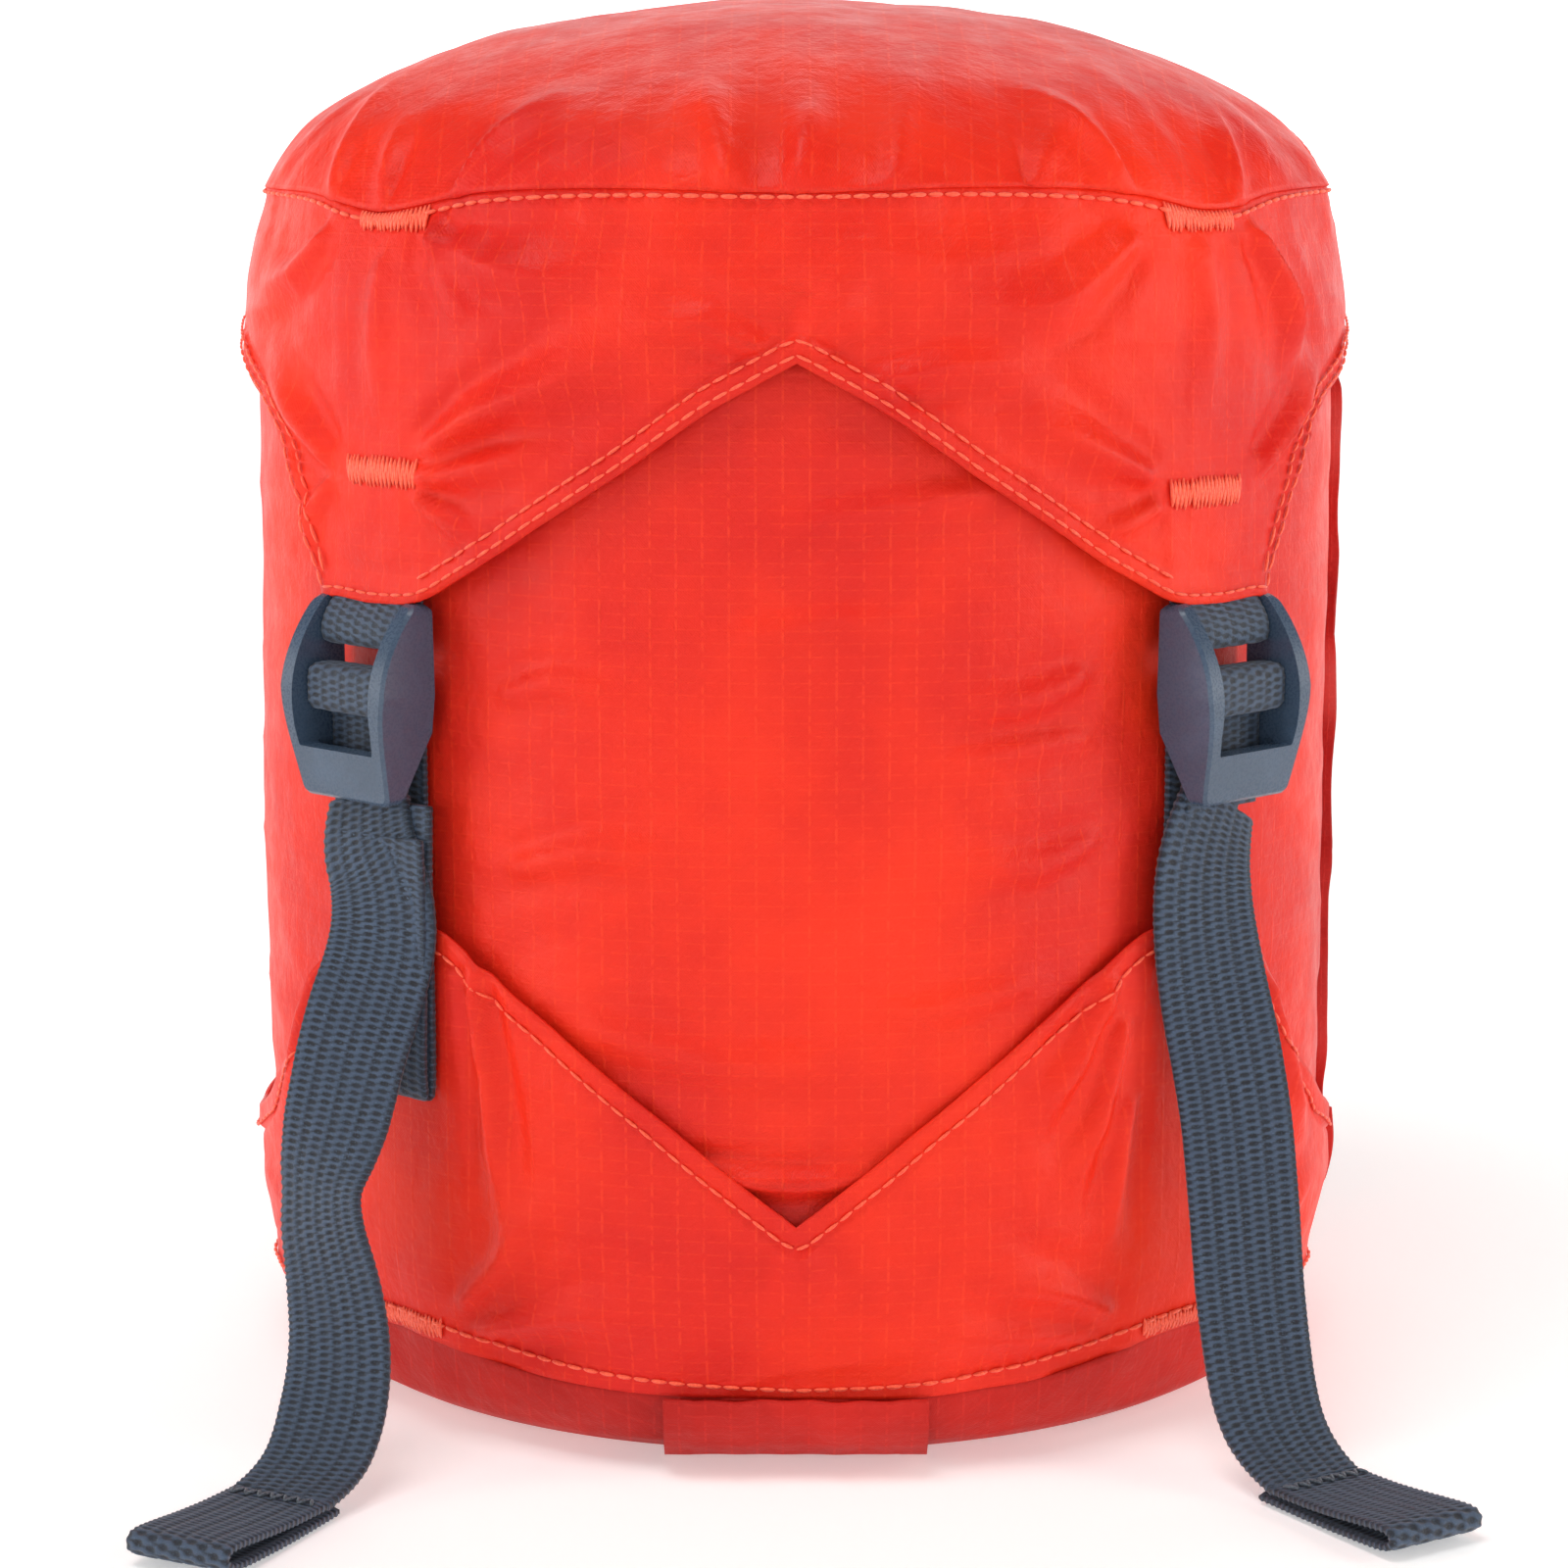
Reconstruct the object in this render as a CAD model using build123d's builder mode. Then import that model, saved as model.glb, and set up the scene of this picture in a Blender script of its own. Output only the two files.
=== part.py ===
"""Compression sack: a stuff sack of ripstop cloth with a compression lid, a base skirt and four webbing straps.

Millimetres, +Z up. The origin is on the floor, under the middle of the base, and -Y is the front.
The sack stands packed: its mouth is drawn shut under the lid, and each strap runs from the base seam, up
through a ladder-lock buckle on the lid's point, and hangs down to the floor as a loose tail.
"""
from build123d import *
from math import asin, atan2, cos, degrees, hypot, pi, radians, sin, sqrt, tan
import os

# ---------------------------------------------------------------- driving dimensions
SACK_R = 87.0  # outer radius of the tube at mid height
CLOTH = 0.8  # thickness of one cloth layer with its coating and seams
SEAM_INSET = 3.0  # how far the sides draw in at the base seam and at the lid seam
BASE_SEAM_Z = 12.0
SIDE_LOW_Z = 36.0  # the side is straight from here
SIDE_HIGH_Z = 165.0  # to here
LID_SEAM_Z = 194.0
LID_TOP_Z = 222.0
SHOULDER_R = 36.0  # the tube's shoulder, hidden under the lid

WEB_W = 17.0  # webbing width
WEB_T = 1.2  # webbing thickness
WEB_GAP = 0.25  # air between the webbing and the cloth under it
LID_OFFSET = 3.4  # the lid's cloth runs this far outside the tube, over two layers of webbing
SKIRT_OFFSET = 2.2  # the skirt's cloth runs this far outside the tube, over one layer

# The straps, by name: how far round from the front each one stands.
STRAPS = {"front_left": -45.0, "front_right": 45.0, "rear_left": -135.0, "rear_right": 135.0}

# The cut edges between two points, as (degrees from the V's middle, height). The V's at the sides are rounder.
LID_CUT_FRONT = [(0, 168.5), (17, 151.5), (30, 138.5), (37.5, 131.0)]
LID_CUT_SIDE = [(0, 169.5), (15, 166.0), (25.5, 158.0), (32, 146.0), (37.5, 133.0)]
SKIRT_CUT_FRONT = [(0, 40.5), (14, 57.5), (25, 70.5), (35, 79.5)]
SKIRT_CUT_SIDE = [(0, 38.5), (10, 40.5), (18, 46.0), (30, 62.0), (37.0, 79.5)]
LID_POINT_Z = 133.5  # foot of a lid point
SKIRT_POINT_Z = 81.5  # top of a skirt point

# Ladder-lock buckle, in a plane through the sack's axis: (radius, height).
BUCKLE_W = 24.6
BUCKLE_TOP_Z = 131.6
BUCKLE_LOW_Z = 101.3
BUCKLE_BACK_R = 88.9
WINDOW_W = 18.2
LIP_TOP_Z = 109.0
RIM_EDGE_MIN = 5.0  # the face's long edges are bevelled, its short ones at the corners are left
PIVOT_R, PIVOT_Z = 91.2, 127.0
PIVOT_BAR_R = 1.3
MID_BAR = (92.6, 95.6, 115.6, 120.4)  # inner radius, outer radius, low, high
TAIL_EXIT_R = 91.6  # the webbing leaves behind the lip at this radius

# Tails: the radius each one starts at, the way it leaves on the floor in degrees round from the front, and its
# route as (out, height).
TAILS = {
    "front_left": (97.0, -22.0, [(0, 99.5), (0.5, 72), (2, 46), (6, 24), (15, 8), (27, 2.7)]),
    "front_right": (95.6, 26.0, [(0, 99.5), (0.3, 68), (1, 38), (3.5, 17), (9, 6), (17, 2.7)]),
    "rear_left": (95.6, -152.0, [(0, 99.5), (0.5, 70), (2.5, 40), (8, 18), (17, 6.5), (29, 2.7)]),
    "rear_right": (95.6, 158.0, [(0, 99.5), (0.5, 69), (2.5, 39), (7, 18), (15, 6.5), (27, 2.7)]),
}
HEM_L = 26.0  # the folded and stitched end of a tail

# Mouth, drawcord and cord lock, under the lid.
NECK_R = 21.0
NECK_END = (16.9, 203.8)
RING_R = 13.2  # middle of the drawn-in mouth hem
RING_Z = 207.2
HEM_TUBE_R = 3.0
HEM_HOLE_R = 1.8
CORD_R = 1.25
CORD_GAP = 3.2  # between the middles of the cord's two ends
CORD_BEND = 5.0  # bend that leads each end out of the channel
CORD_END_Y = -54.0
KNOT_R, KNOT_L = 3.4, 5.4
LOCK_Y = -24.0
LOCK_R = 5.5
LOCK_BACK, LOCK_FRONT = 12.0, 8.5  # the barrel's closed end and its open end, along X from the cord's middle
LOCK_BORE_R = 3.7
BUTTON_R = 3.5
BUTTON_BACK = -4.8  # the button's inner end
BUTTON_OUT = 4.6  # how far the button stands out of the barrel
BUTTON_TRAVEL = 3.0
SLOT_H = 3.2  # the cord's slot through the barrel and the button
SLOT_W = 6.4
LOCK_FLOOR = 1.2  # closed end of the barrel

BASE_FLAT_R = 72.0
BASE_CLOTH = 2.2  # doubled, with its lining
GRIP_W = 40.0
GRIP_T = 0.9

os.makedirs("parts", exist_ok=True)


def save(builder, name):
    """Labels a finished sub-part and writes it as parts/name.step."""
    builder.part.label = name
    export_step(builder.part, f"parts/{name}.step")
    print(f"{name}: {len(builder.part.solids())} solids, {builder.part.volume:.0f} mm3")


def around(angle):
    """The upright plane through the sack's axis, at an angle round from the front: x is radius, y height."""
    a = radians(angle)
    return Plane(origin=(0, 0, 0), x_dir=(sin(a), -cos(a), 0), z_dir=(-cos(a), -sin(a), 0))


def arc_radius(height):
    """Radius of the arc that draws the side in by SEAM_INSET over a height."""
    return (height**2 + SEAM_INSET**2) / (2 * SEAM_INSET)


def side_line(offset, low, high):
    """The sack's side at an offset outward, from a low height to a high one: arc, straight, arc."""
    r = SACK_R + offset
    if low < SIDE_LOW_Z:
        bend = arc_radius(SIDE_LOW_Z - BASE_SEAM_Z)
        turn = degrees(asin((SIDE_LOW_Z - low) / (bend + offset)))
        CenterArc((SACK_R - bend, SIDE_LOW_Z), bend + offset, -turn, turn)
    if high > SIDE_LOW_Z:
        Line((r, max(low, SIDE_LOW_Z)), (r, min(high, SIDE_HIGH_Z)))
    if high > SIDE_HIGH_Z:
        bend = arc_radius(LID_SEAM_Z - SIDE_HIGH_Z)
        turn = degrees(asin((high - SIDE_HIGH_Z) / (bend + offset)))
        CenterArc((SACK_R - bend, SIDE_HIGH_Z), bend + offset, 0, turn)


def side_radius(height):
    """Outer radius of the tube's side at a height under the lid seam."""
    if height < SIDE_LOW_Z:
        bend = arc_radius(SIDE_LOW_Z - BASE_SEAM_Z)
        return SACK_R - bend + sqrt(bend**2 - (SIDE_LOW_Z - height) ** 2)
    bend = arc_radius(LID_SEAM_Z - SIDE_HIGH_Z)
    return SACK_R - bend + sqrt(bend**2 - max(0, height - SIDE_HIGH_Z) ** 2)


def scallop(front_cut, side_cut, far_z):
    """The four wedges that cut a V between each two points, front, back, left and right."""
    with BuildPart() as wedges:
        for angle, cut in ((0, front_cut), (90, side_cut), (180, front_cut), (270, side_cut)):
            a = radians(angle)
            half = [(SACK_R * sin(radians(turn)), height) for turn, height in cut]
            left = [(-x, height) for x, height in reversed(half[1:])]
            with BuildSketch(Plane(origin=(0, 0, 0), x_dir=(cos(a), sin(a), 0), z_dir=(sin(a), -cos(a), 0))):
                with BuildLine():
                    Polyline((-half[-1][0], far_z), *left, *half, (half[-1][0], far_z), close=True)
                make_face()
            extrude(amount=2 * SACK_R)
    return wedges.part


def round_path(points, share=0.45):
    """Straight runs joined by tangent arcs, each as large as its two shorter half runs allow."""
    radii = []
    for a, b, c in zip(points, points[1:], points[2:]):
        run_in, run_out = (b[0] - a[0], b[1] - a[1]), (c[0] - b[0], c[1] - b[1])
        turn = abs((degrees(atan2(run_out[1], run_out[0]) - atan2(run_in[1], run_in[0])) + 180) % 360 - 180)
        shorter = min(hypot(*run_in), hypot(*run_out))
        radii.append(share * shorter / tan(radians(turn) / 2))
    return radii


# ---------------------------------------------------------------- sack: tube, base, skirt
def sack_tube():
    """The tube of cloth, from the base seam up to the shoulder."""
    with BuildPart() as tube:
        with BuildSketch(Plane.XZ):
            with BuildLine():
                side_line(-CLOTH / 2, BASE_SEAM_Z + 0.3, SIDE_HIGH_Z)
            trace(line_width=CLOTH)
        revolve(axis=Axis.Z)
    save(tube, "sack_tube")


def sack_shoulder():
    """The top of the tube: it turns in over the filling and gathers into the drawn-in neck."""
    shoulder_r = SACK_R - CLOTH / 2 - SHOULDER_R
    with BuildPart() as shoulder:
        with BuildSketch(Plane.XZ):
            with BuildLine():
                arc = CenterArc((shoulder_r, SIDE_HIGH_Z), SHOULDER_R, 0, 90)
                Polyline(arc @ 1, (NECK_R, SIDE_HIGH_Z + SHOULDER_R), NECK_END)
            trace(line_width=CLOTH)
        revolve(axis=Axis.Z)
    save(shoulder, "sack_shoulder")


def side_seam():
    """The tube's closing seam: its edge stands out as a low fin up the right side, between skirt and lid."""
    fin_low, fin_high, fin_t, fin_h = SKIRT_CUT_SIDE[0][1] + 4, LID_CUT_SIDE[0][1] - 4.5, 1.2, 3.0
    with BuildPart() as seam:
        with BuildSketch(around(86)):
            with BuildLine():
                Polyline(
                    (SACK_R + 0.15, fin_low),
                    (SACK_R + fin_h, fin_low + 6),
                    (SACK_R + fin_h, fin_high - 8),
                    (SACK_R + 0.15, fin_high),
                    close=True,
                )
            make_face()
        extrude(amount=fin_t / 2, both=True)
    save(seam, "side_seam")


def base_outline(inset):
    """Half of the base's outline, flat in the middle and turned up at its edge to the base seam."""
    edge_r = SACK_R - SEAM_INSET + 0.6 - inset
    corner = BASE_SEAM_Z - inset
    Line((0, inset), (BASE_FLAT_R, inset))
    middle = (BASE_FLAT_R, BASE_SEAM_Z)
    edge = EllipticalCenterArc(middle, edge_r - BASE_FLAT_R, corner, start_angle=-90, arc_size=90)
    Polyline(edge @ 1, (0, BASE_SEAM_Z), (0, inset))


def base_panel():
    """The round base: a shallow dish of cloth, with a groove where the grip lies under it."""
    with BuildPart() as base:
        for inset, mode in ((0, Mode.ADD), (BASE_CLOTH, Mode.SUBTRACT)):
            with BuildSketch(Plane.XZ):
                with BuildLine():
                    base_outline(inset)
                make_face()
            revolve(axis=Axis.Z, mode=mode)
        with Locations((0, 0, GRIP_T / 2)):
            Box(GRIP_W + 0.6, 4 * SACK_R, GRIP_T + 0.6, mode=Mode.SUBTRACT)
    save(base, "base_panel")


def base_grip():
    """The haul strip across the base, from the front of the base seam to the back of it."""
    edge = SACK_R - SEAM_INSET + 2.2
    level = GRIP_T / 2
    with BuildPart() as grip:
        with BuildSketch(Plane.YZ):
            with BuildLine():
                rise = Spline(
                    (BASE_FLAT_R + 2, level), (edge - 5, 2.3), (edge - 0.8, 7.4), (edge, BASE_SEAM_Z),
                    tangents=[(1, 0), (0.05, 1)],
                )
                Line((0, level), rise @ 0)
            trace(line_width=GRIP_T)
        extrude(amount=GRIP_W / 2, both=True)
        mirror(about=Plane.XZ)
    save(grip, "base_grip")


def seam_ring(name, radius, height, wide, thick):
    """A bound seam all round the sack: a narrow folded tape."""
    with BuildPart() as ring:
        with BuildSketch(Plane.XZ):
            with Locations((radius, height)):
                RectangleRounded(thick, wide, thick * 0.3)
        revolve(axis=Axis.Z)
    save(ring, name)


def base_skirt():
    """The outer layer round the base, rising to a point under each strap."""
    with BuildPart() as skirt:
        with BuildSketch(Plane.XZ):
            with BuildLine():
                side_line(SKIRT_OFFSET + CLOTH / 2, BASE_SEAM_Z + 4.4, SKIRT_POINT_Z)
            trace(line_width=CLOTH)
        revolve(axis=Axis.Z)
        add(scallop(SKIRT_CUT_FRONT, SKIRT_CUT_SIDE, SKIRT_POINT_Z + 20), mode=Mode.SUBTRACT)
    save(skirt, "base_skirt")


# ---------------------------------------------------------------- lid
def lid_outline(inset):
    """Half of the lid top's outline: a shallow crown with a rounded shoulder down to the lid seam."""
    crown_r, crown_z = 77.0 - inset / 2, 205.0 - inset
    edge_r, edge_z = SACK_R + LID_OFFSET - SEAM_INSET - 0.4 - inset, LID_SEAM_Z + 2.2
    rise = LID_TOP_Z - inset - crown_z
    bend = (crown_r**2 + rise**2) / (2 * rise)
    crown = CenterArc((0, LID_TOP_Z - inset - bend), bend, 90, -degrees(asin(crown_r / bend)))
    shoulder = TangentArc(crown @ 1, (edge_r, edge_z), tangent=crown % 1)
    Polyline(shoulder @ 1, (0, edge_z), crown @ 0)


def lid_top():
    """The lid's round crown, a curved shell of cloth."""
    with BuildPart() as top:
        for inset, mode in ((0, Mode.ADD), (CLOTH, Mode.SUBTRACT)):
            with BuildSketch(Plane.XZ):
                with BuildLine():
                    lid_outline(inset)
                make_face()
            revolve(axis=Axis.Z, mode=mode)
    save(top, "lid_top")


def lid_band():
    """The lid's side, cut to a point over each buckle."""
    with BuildPart() as band:
        with BuildSketch(Plane.XZ):
            with BuildLine():
                side_line(LID_OFFSET + CLOTH / 2, LID_POINT_Z, LID_SEAM_Z - 1.6)
            trace(line_width=CLOTH)
        revolve(axis=Axis.Z)
        add(scallop(LID_CUT_FRONT, LID_CUT_SIDE, LID_POINT_Z - 20), mode=Mode.SUBTRACT)
    save(band, "lid_band")


# ---------------------------------------------------------------- webbing and buckles, one set for each strap
def web_strip(name, angle, draw, share=0.45):
    """A strip of webbing: draw() lays its middle line in the strap's plane."""
    with BuildPart() as strip:
        with BuildSketch(around(angle)):
            with BuildLine():
                draw()
            trace(line_width=WEB_T)
        extrude(amount=WEB_W / 2, both=True)
    save(strip, name)


def load_line():
    """From the base seam, under the skirt and up behind the buckle."""
    side_line(WEB_GAP + WEB_T / 2, BASE_SEAM_Z + 4.6, 112.0)


def buckle_loop_line():
    """Down inside the lid, round the buckle's upper bar and back up to the lower bartack."""
    inner, outer = SACK_R + WEB_GAP + WEB_T / 2, SACK_R + 2 * WEB_GAP + 1.5 * WEB_T - 0.05
    round_r = PIVOT_BAR_R + 0.25 + WEB_T / 2
    side_line(WEB_GAP + WEB_T / 2, 134.0, 188.0)
    FilletPolyline(
        (inner, 134.0),
        (inner, 132.5),
        (PIVOT_R - round_r, PIVOT_Z + 0.6),
        (PIVOT_R - round_r, PIVOT_Z - round_r),
        (PIVOT_R + round_r, PIVOT_Z - round_r),
        (PIVOT_R + round_r, PIVOT_Z + 1.0),
        (outer, 132.8),
        (outer, 150.0),
        radius=[1.2, 1.2, round_r * 0.98, round_r * 0.98, 1.2, 1.2],
    )


def wrap_line():
    """Up behind the buckle, over the middle bar, back through the lower window and down behind the lip."""
    inner = SACK_R + WEB_GAP + WEB_T / 2
    near, far, low, high = MID_BAR
    reach = WEB_T / 2 + 0.12
    FilletPolyline(
        (inner, 112.5),
        (inner, 118.2),
        (near - 1.2, high + reach),
        (far + reach, high + reach),
        (far + reach, low - reach),
        (TAIL_EXIT_R, low - reach),
        (TAIL_EXIT_R, BUCKLE_LOW_Z),
        radius=[1.8, 1.0, 1.3, 1.3, 1.0],
    )


def buckle(name, angle):
    """A ladder-lock buckle: two deep side walls, a pivot bar, a middle bar and a wide lip."""
    plane = around(angle)
    front = Plane(origin=plane.origin, x_dir=-plane.z_dir, z_dir=plane.x_dir)
    with BuildPart() as frame:
        with BuildSketch(plane):
            with BuildLine():
                face = Spline(
                    (92.2, BUCKLE_TOP_Z), (96.8, 125.6), (99.2, 118.5), (98.6, 110.5), (96.6, BUCKLE_LOW_Z)
                )
                Polyline(
                    face @ 1, (93.9, BUCKLE_LOW_Z), (BUCKLE_BACK_R, 112), (BUCKLE_BACK_R, 130.6),
                    (89.8, BUCKLE_TOP_Z), face @ 0,
                )
            make_face()
        extrude(amount=BUCKLE_W / 2, both=True)
        with BuildSketch(front):
            with BuildLine():
                mid_half = BUCKLE_W / 2
                FilletPolyline(
                    (-mid_half + 0.4, BUCKLE_TOP_Z),
                    (-mid_half, 118),
                    (-mid_half + 2.2, BUCKLE_LOW_Z),
                    (mid_half - 2.2, BUCKLE_LOW_Z),
                    (mid_half, 118),
                    (mid_half - 0.4, BUCKLE_TOP_Z),
                    radius=1.6,
                    close=True,
                )
            make_face()
        extrude(amount=120, mode=Mode.INTERSECT)
        rim = frame.edges().filter_by(GeomType.BSPLINE)
        rim = rim.filter_by(lambda edge: edge.length > RIM_EDGE_MIN)
        chamfer(rim, length=0.5)
        with BuildSketch(front):
            with BuildLine():
                half = WINDOW_W / 2
                FilletPolyline(
                    (-half, 140), (-half, LIP_TOP_Z + 3), (-half + 0.4, LIP_TOP_Z),
                    (half - 0.4, LIP_TOP_Z), (half, LIP_TOP_Z + 3), (half, 140),
                    radius=0.4, close=True,
                )
            make_face()
        extrude(amount=120, mode=Mode.SUBTRACT)
        with BuildSketch(plane):
            Polygon((80, 100), (94.0, 100), (94.6, LIP_TOP_Z + 0.5), (80, LIP_TOP_Z + 0.5), align=None)
        extrude(amount=WINDOW_W / 2, both=True, mode=Mode.SUBTRACT)
        near, far, low, high = MID_BAR
        with BuildSketch(plane):
            with Locations((PIVOT_R, PIVOT_Z)):
                Circle(PIVOT_BAR_R)
            with Locations(((near + far) / 2, (low + high) / 2)):
                RectangleRounded(far - near, high - low, 0.8)
        extrude(amount=WINDOW_W / 2 + 0.4, both=True)
    save(frame, name)


def tail_plane(strap):
    """The upright plane a tail hangs in: x runs out along the floor, y up, from under its buckle."""
    start_r, heading, _ = TAILS[strap]
    a, h = radians(STRAPS[strap]), radians(heading)
    start = (start_r * sin(a), -start_r * cos(a), 0)
    return Plane(origin=start, x_dir=(sin(h), -cos(h), 0), z_dir=(-cos(h), -sin(h), 0))


def strap_tail(name, strap):
    """The loose webbing below a buckle, down to the stitching of its folded end."""
    route = TAILS[strap][-1]
    radii = round_path(route)
    print(f"{name}: bend radii {[round(r) for r in radii]} mm")
    with BuildPart() as tail:
        with BuildSketch(tail_plane(strap)):
            with BuildLine():
                FilletPolyline(*route, radius=radii)
            trace(line_width=WEB_T)
        extrude(amount=WEB_W / 2, both=True)
    save(tail, name)


def strap_end(name, strap):
    """The tail's end, folded back under itself and stitched, so that it can't slip through the buckle."""
    route = TAILS[strap][-1]
    start, level = route[-1][0] + 0.3, route[-1][1]
    with BuildPart() as end:
        with BuildSketch(tail_plane(strap)):
            with BuildLine():
                FilletPolyline(
                    (start, level),
                    (start + HEM_L, level),
                    (start + HEM_L, WEB_T / 2),
                    (start - 2.0, WEB_T / 2),
                    radius=1.0,
                )
            trace(line_width=WEB_T)
        extrude(amount=WEB_W / 2, both=True)
    save(end, name)


def strap_bight():
    """Spare webbing of the front left tail, folded up behind it in one flat bight."""
    low, high, gap = 57.0, 98.5, 1.25
    near = SACK_R + SKIRT_OFFSET + CLOTH + 0.5 + WEB_T / 2
    with BuildPart() as bight:
        with BuildSketch(around(STRAPS["front_left"])):
            with BuildLine():
                FilletPolyline((near, high), (near, low), (near + gap, low), (near + gap, high), radius=0.62)
            trace(line_width=WEB_T)
        extrude(amount=WEB_W / 2, both=True)
    save(bight, "strap_bight_front_left")


def bartacks(name, places, thick):
    """Dense zigzag stitching across each strap: one flat bar of thread at each (offset, height)."""
    with BuildPart() as tacks:
        for angle in STRAPS.values():
            for offset, height in places:
                widest = max(side_radius(height - 1.5), side_radius(height + 1.5))
                with BuildSketch(around(angle)):
                    with Locations((widest + offset + thick / 2, height)):
                        Rectangle(thick, 3.0)
                extrude(amount=WEB_W / 2 - 0.5, both=True)
    save(tacks, name)


# ---------------------------------------------------------------- mouth, drawcord and cord lock
def mouth_hem():
    """The hem round the drawn-in mouth: a channel for the drawcord, open at the front for its two ends."""
    with BuildPart() as hem:
        with BuildSketch(Plane.XZ):
            with Locations((RING_R, RING_Z)):
                Circle(HEM_TUBE_R)
                Circle(HEM_HOLE_R, mode=Mode.SUBTRACT)
        revolve(axis=Axis.Z)
        with Locations((0, -RING_R - 2.9, RING_Z)):
            Box(17, 9, 2 * HEM_HOLE_R, mode=Mode.SUBTRACT)
    save(hem, "mouth_hem")


def drawcord():
    """The drawcord: round the mouth in its channel, out at the front and into a knot past the cord lock."""
    half = CORD_GAP / 2
    side = half + CORD_BEND  # middle of the bend that leads each end out of the channel
    depth = sqrt((RING_R + CORD_BEND) ** 2 - side**2)
    entry = degrees(atan2(side, depth))
    with BuildPart() as cord:
        with BuildSketch(Plane(origin=(0, CORD_END_Y, RING_Z), z_dir=(0, -1, 0))):
            Circle(KNOT_R)
        extrude(amount=KNOT_L)
        fillet(cord.edges(), radius=1.1)
        with BuildLine(Plane.XY.offset(RING_Z)):
            Line((half, CORD_END_Y - 1), (half, -depth))
            CenterArc((side, -depth), CORD_BEND, 180, entry - 90)
            CenterArc((0, 0), RING_R, entry - 90, 360 - 2 * entry)
            CenterArc((-side, -depth), CORD_BEND, 90 - entry, entry - 90)
            Line((-half, -depth), (-half, CORD_END_Y - 1))
        with BuildSketch(Plane(origin=(half, CORD_END_Y - 1, RING_Z), z_dir=(0, 1, 0))):
            Circle(CORD_R)
        sweep()
    save(cord, "drawcord")


def cord_lock_barrel():
    """The cord lock's barrel, closed at the left, with the slot that the cord runs through."""
    end = Plane(origin=(-LOCK_BACK, LOCK_Y, RING_Z), z_dir=(1, 0, 0))
    with BuildPart() as barrel:
        with BuildSketch(end):
            Circle(LOCK_R)
        extrude(amount=LOCK_BACK + LOCK_FRONT)
        fillet(barrel.edges().filter_by(GeomType.CIRCLE), radius=1.2)
        with BuildSketch(end.offset(LOCK_FLOOR)):
            Circle(LOCK_BORE_R)
        extrude(amount=LOCK_BACK + LOCK_FRONT, mode=Mode.SUBTRACT)
        with Locations((0, LOCK_Y, RING_Z)):
            Box(SLOT_W, 4 * LOCK_R, SLOT_H, mode=Mode.SUBTRACT)
    save(barrel, "cord_lock_barrel")


def cord_lock_button():
    """The sprung button in the barrel; its slot lets the cord run only while it is pressed in."""
    with BuildPart() as button:
        with BuildSketch(Plane(origin=(BUTTON_BACK, LOCK_Y, RING_Z), z_dir=(1, 0, 0))):
            Circle(BUTTON_R)
        extrude(amount=LOCK_FRONT + BUTTON_OUT - BUTTON_BACK)
        fillet(button.edges().group_by(Axis.X)[-1], radius=0.9)
        with Locations((BUTTON_TRAVEL / 2, LOCK_Y, RING_Z)):
            Box(SLOT_W - 0.2 + BUTTON_TRAVEL, 4 * LOCK_R, SLOT_H, mode=Mode.SUBTRACT)
    save(button, "cord_lock_button")


def cord_lock_spring():
    """The spring behind the button: a few turns of wire, as closed rings."""
    wire_r, coil_r, turns = 0.3, 2.4, 4
    low = -LOCK_BACK + LOCK_FLOOR + wire_r + 0.02
    high = BUTTON_BACK - wire_r - 0.02
    with BuildPart() as spring:
        for i in range(turns):
            x = low + (high - low) * i / (turns - 1)
            with Locations(Plane(origin=(x, LOCK_Y, RING_Z), z_dir=(1, 0, 0)).location):
                Torus(coil_r, wire_r)
    save(spring, "cord_lock_spring")


sack_tube()
sack_shoulder()
side_seam()
base_panel()
base_grip()
seam_ring("base_seam_binding", SACK_R - SEAM_INSET + 2.2, BASE_SEAM_Z + 2.1, 3.6, 1.6)
base_skirt()
lid_top()
lid_band()
seam_ring("lid_seam_binding", SACK_R - SEAM_INSET + LID_OFFSET + 0.4, LID_SEAM_Z + 0.3, 3.6, 1.6)
bartacks("base_bartacks", [(SKIRT_OFFSET + CLOTH + 0.05, 20.0), (SKIRT_OFFSET + CLOTH + 0.05, 77.0)], 0.3)
bartacks("lid_bartacks", [(LID_OFFSET + CLOTH + 0.05, 150.0), (LID_OFFSET + CLOTH + 0.05, 189.0)], 0.4)
for strap, angle in STRAPS.items():
    web_strip(f"strap_load_{strap}", angle, load_line)
    web_strip(f"buckle_loop_{strap}", angle, buckle_loop_line)
    web_strip(f"strap_wrap_{strap}", angle, wrap_line)
    buckle(f"buckle_{strap}", angle)
    strap_tail(f"strap_tail_{strap}", strap)
    strap_end(f"strap_end_{strap}", strap)
strap_bight()
mouth_hem()
drawcord()
cord_lock_barrel()
cord_lock_button()
cord_lock_spring()
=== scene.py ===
"""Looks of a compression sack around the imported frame. Metres, +Z up, -Y front; tables are in mm."""

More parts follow.
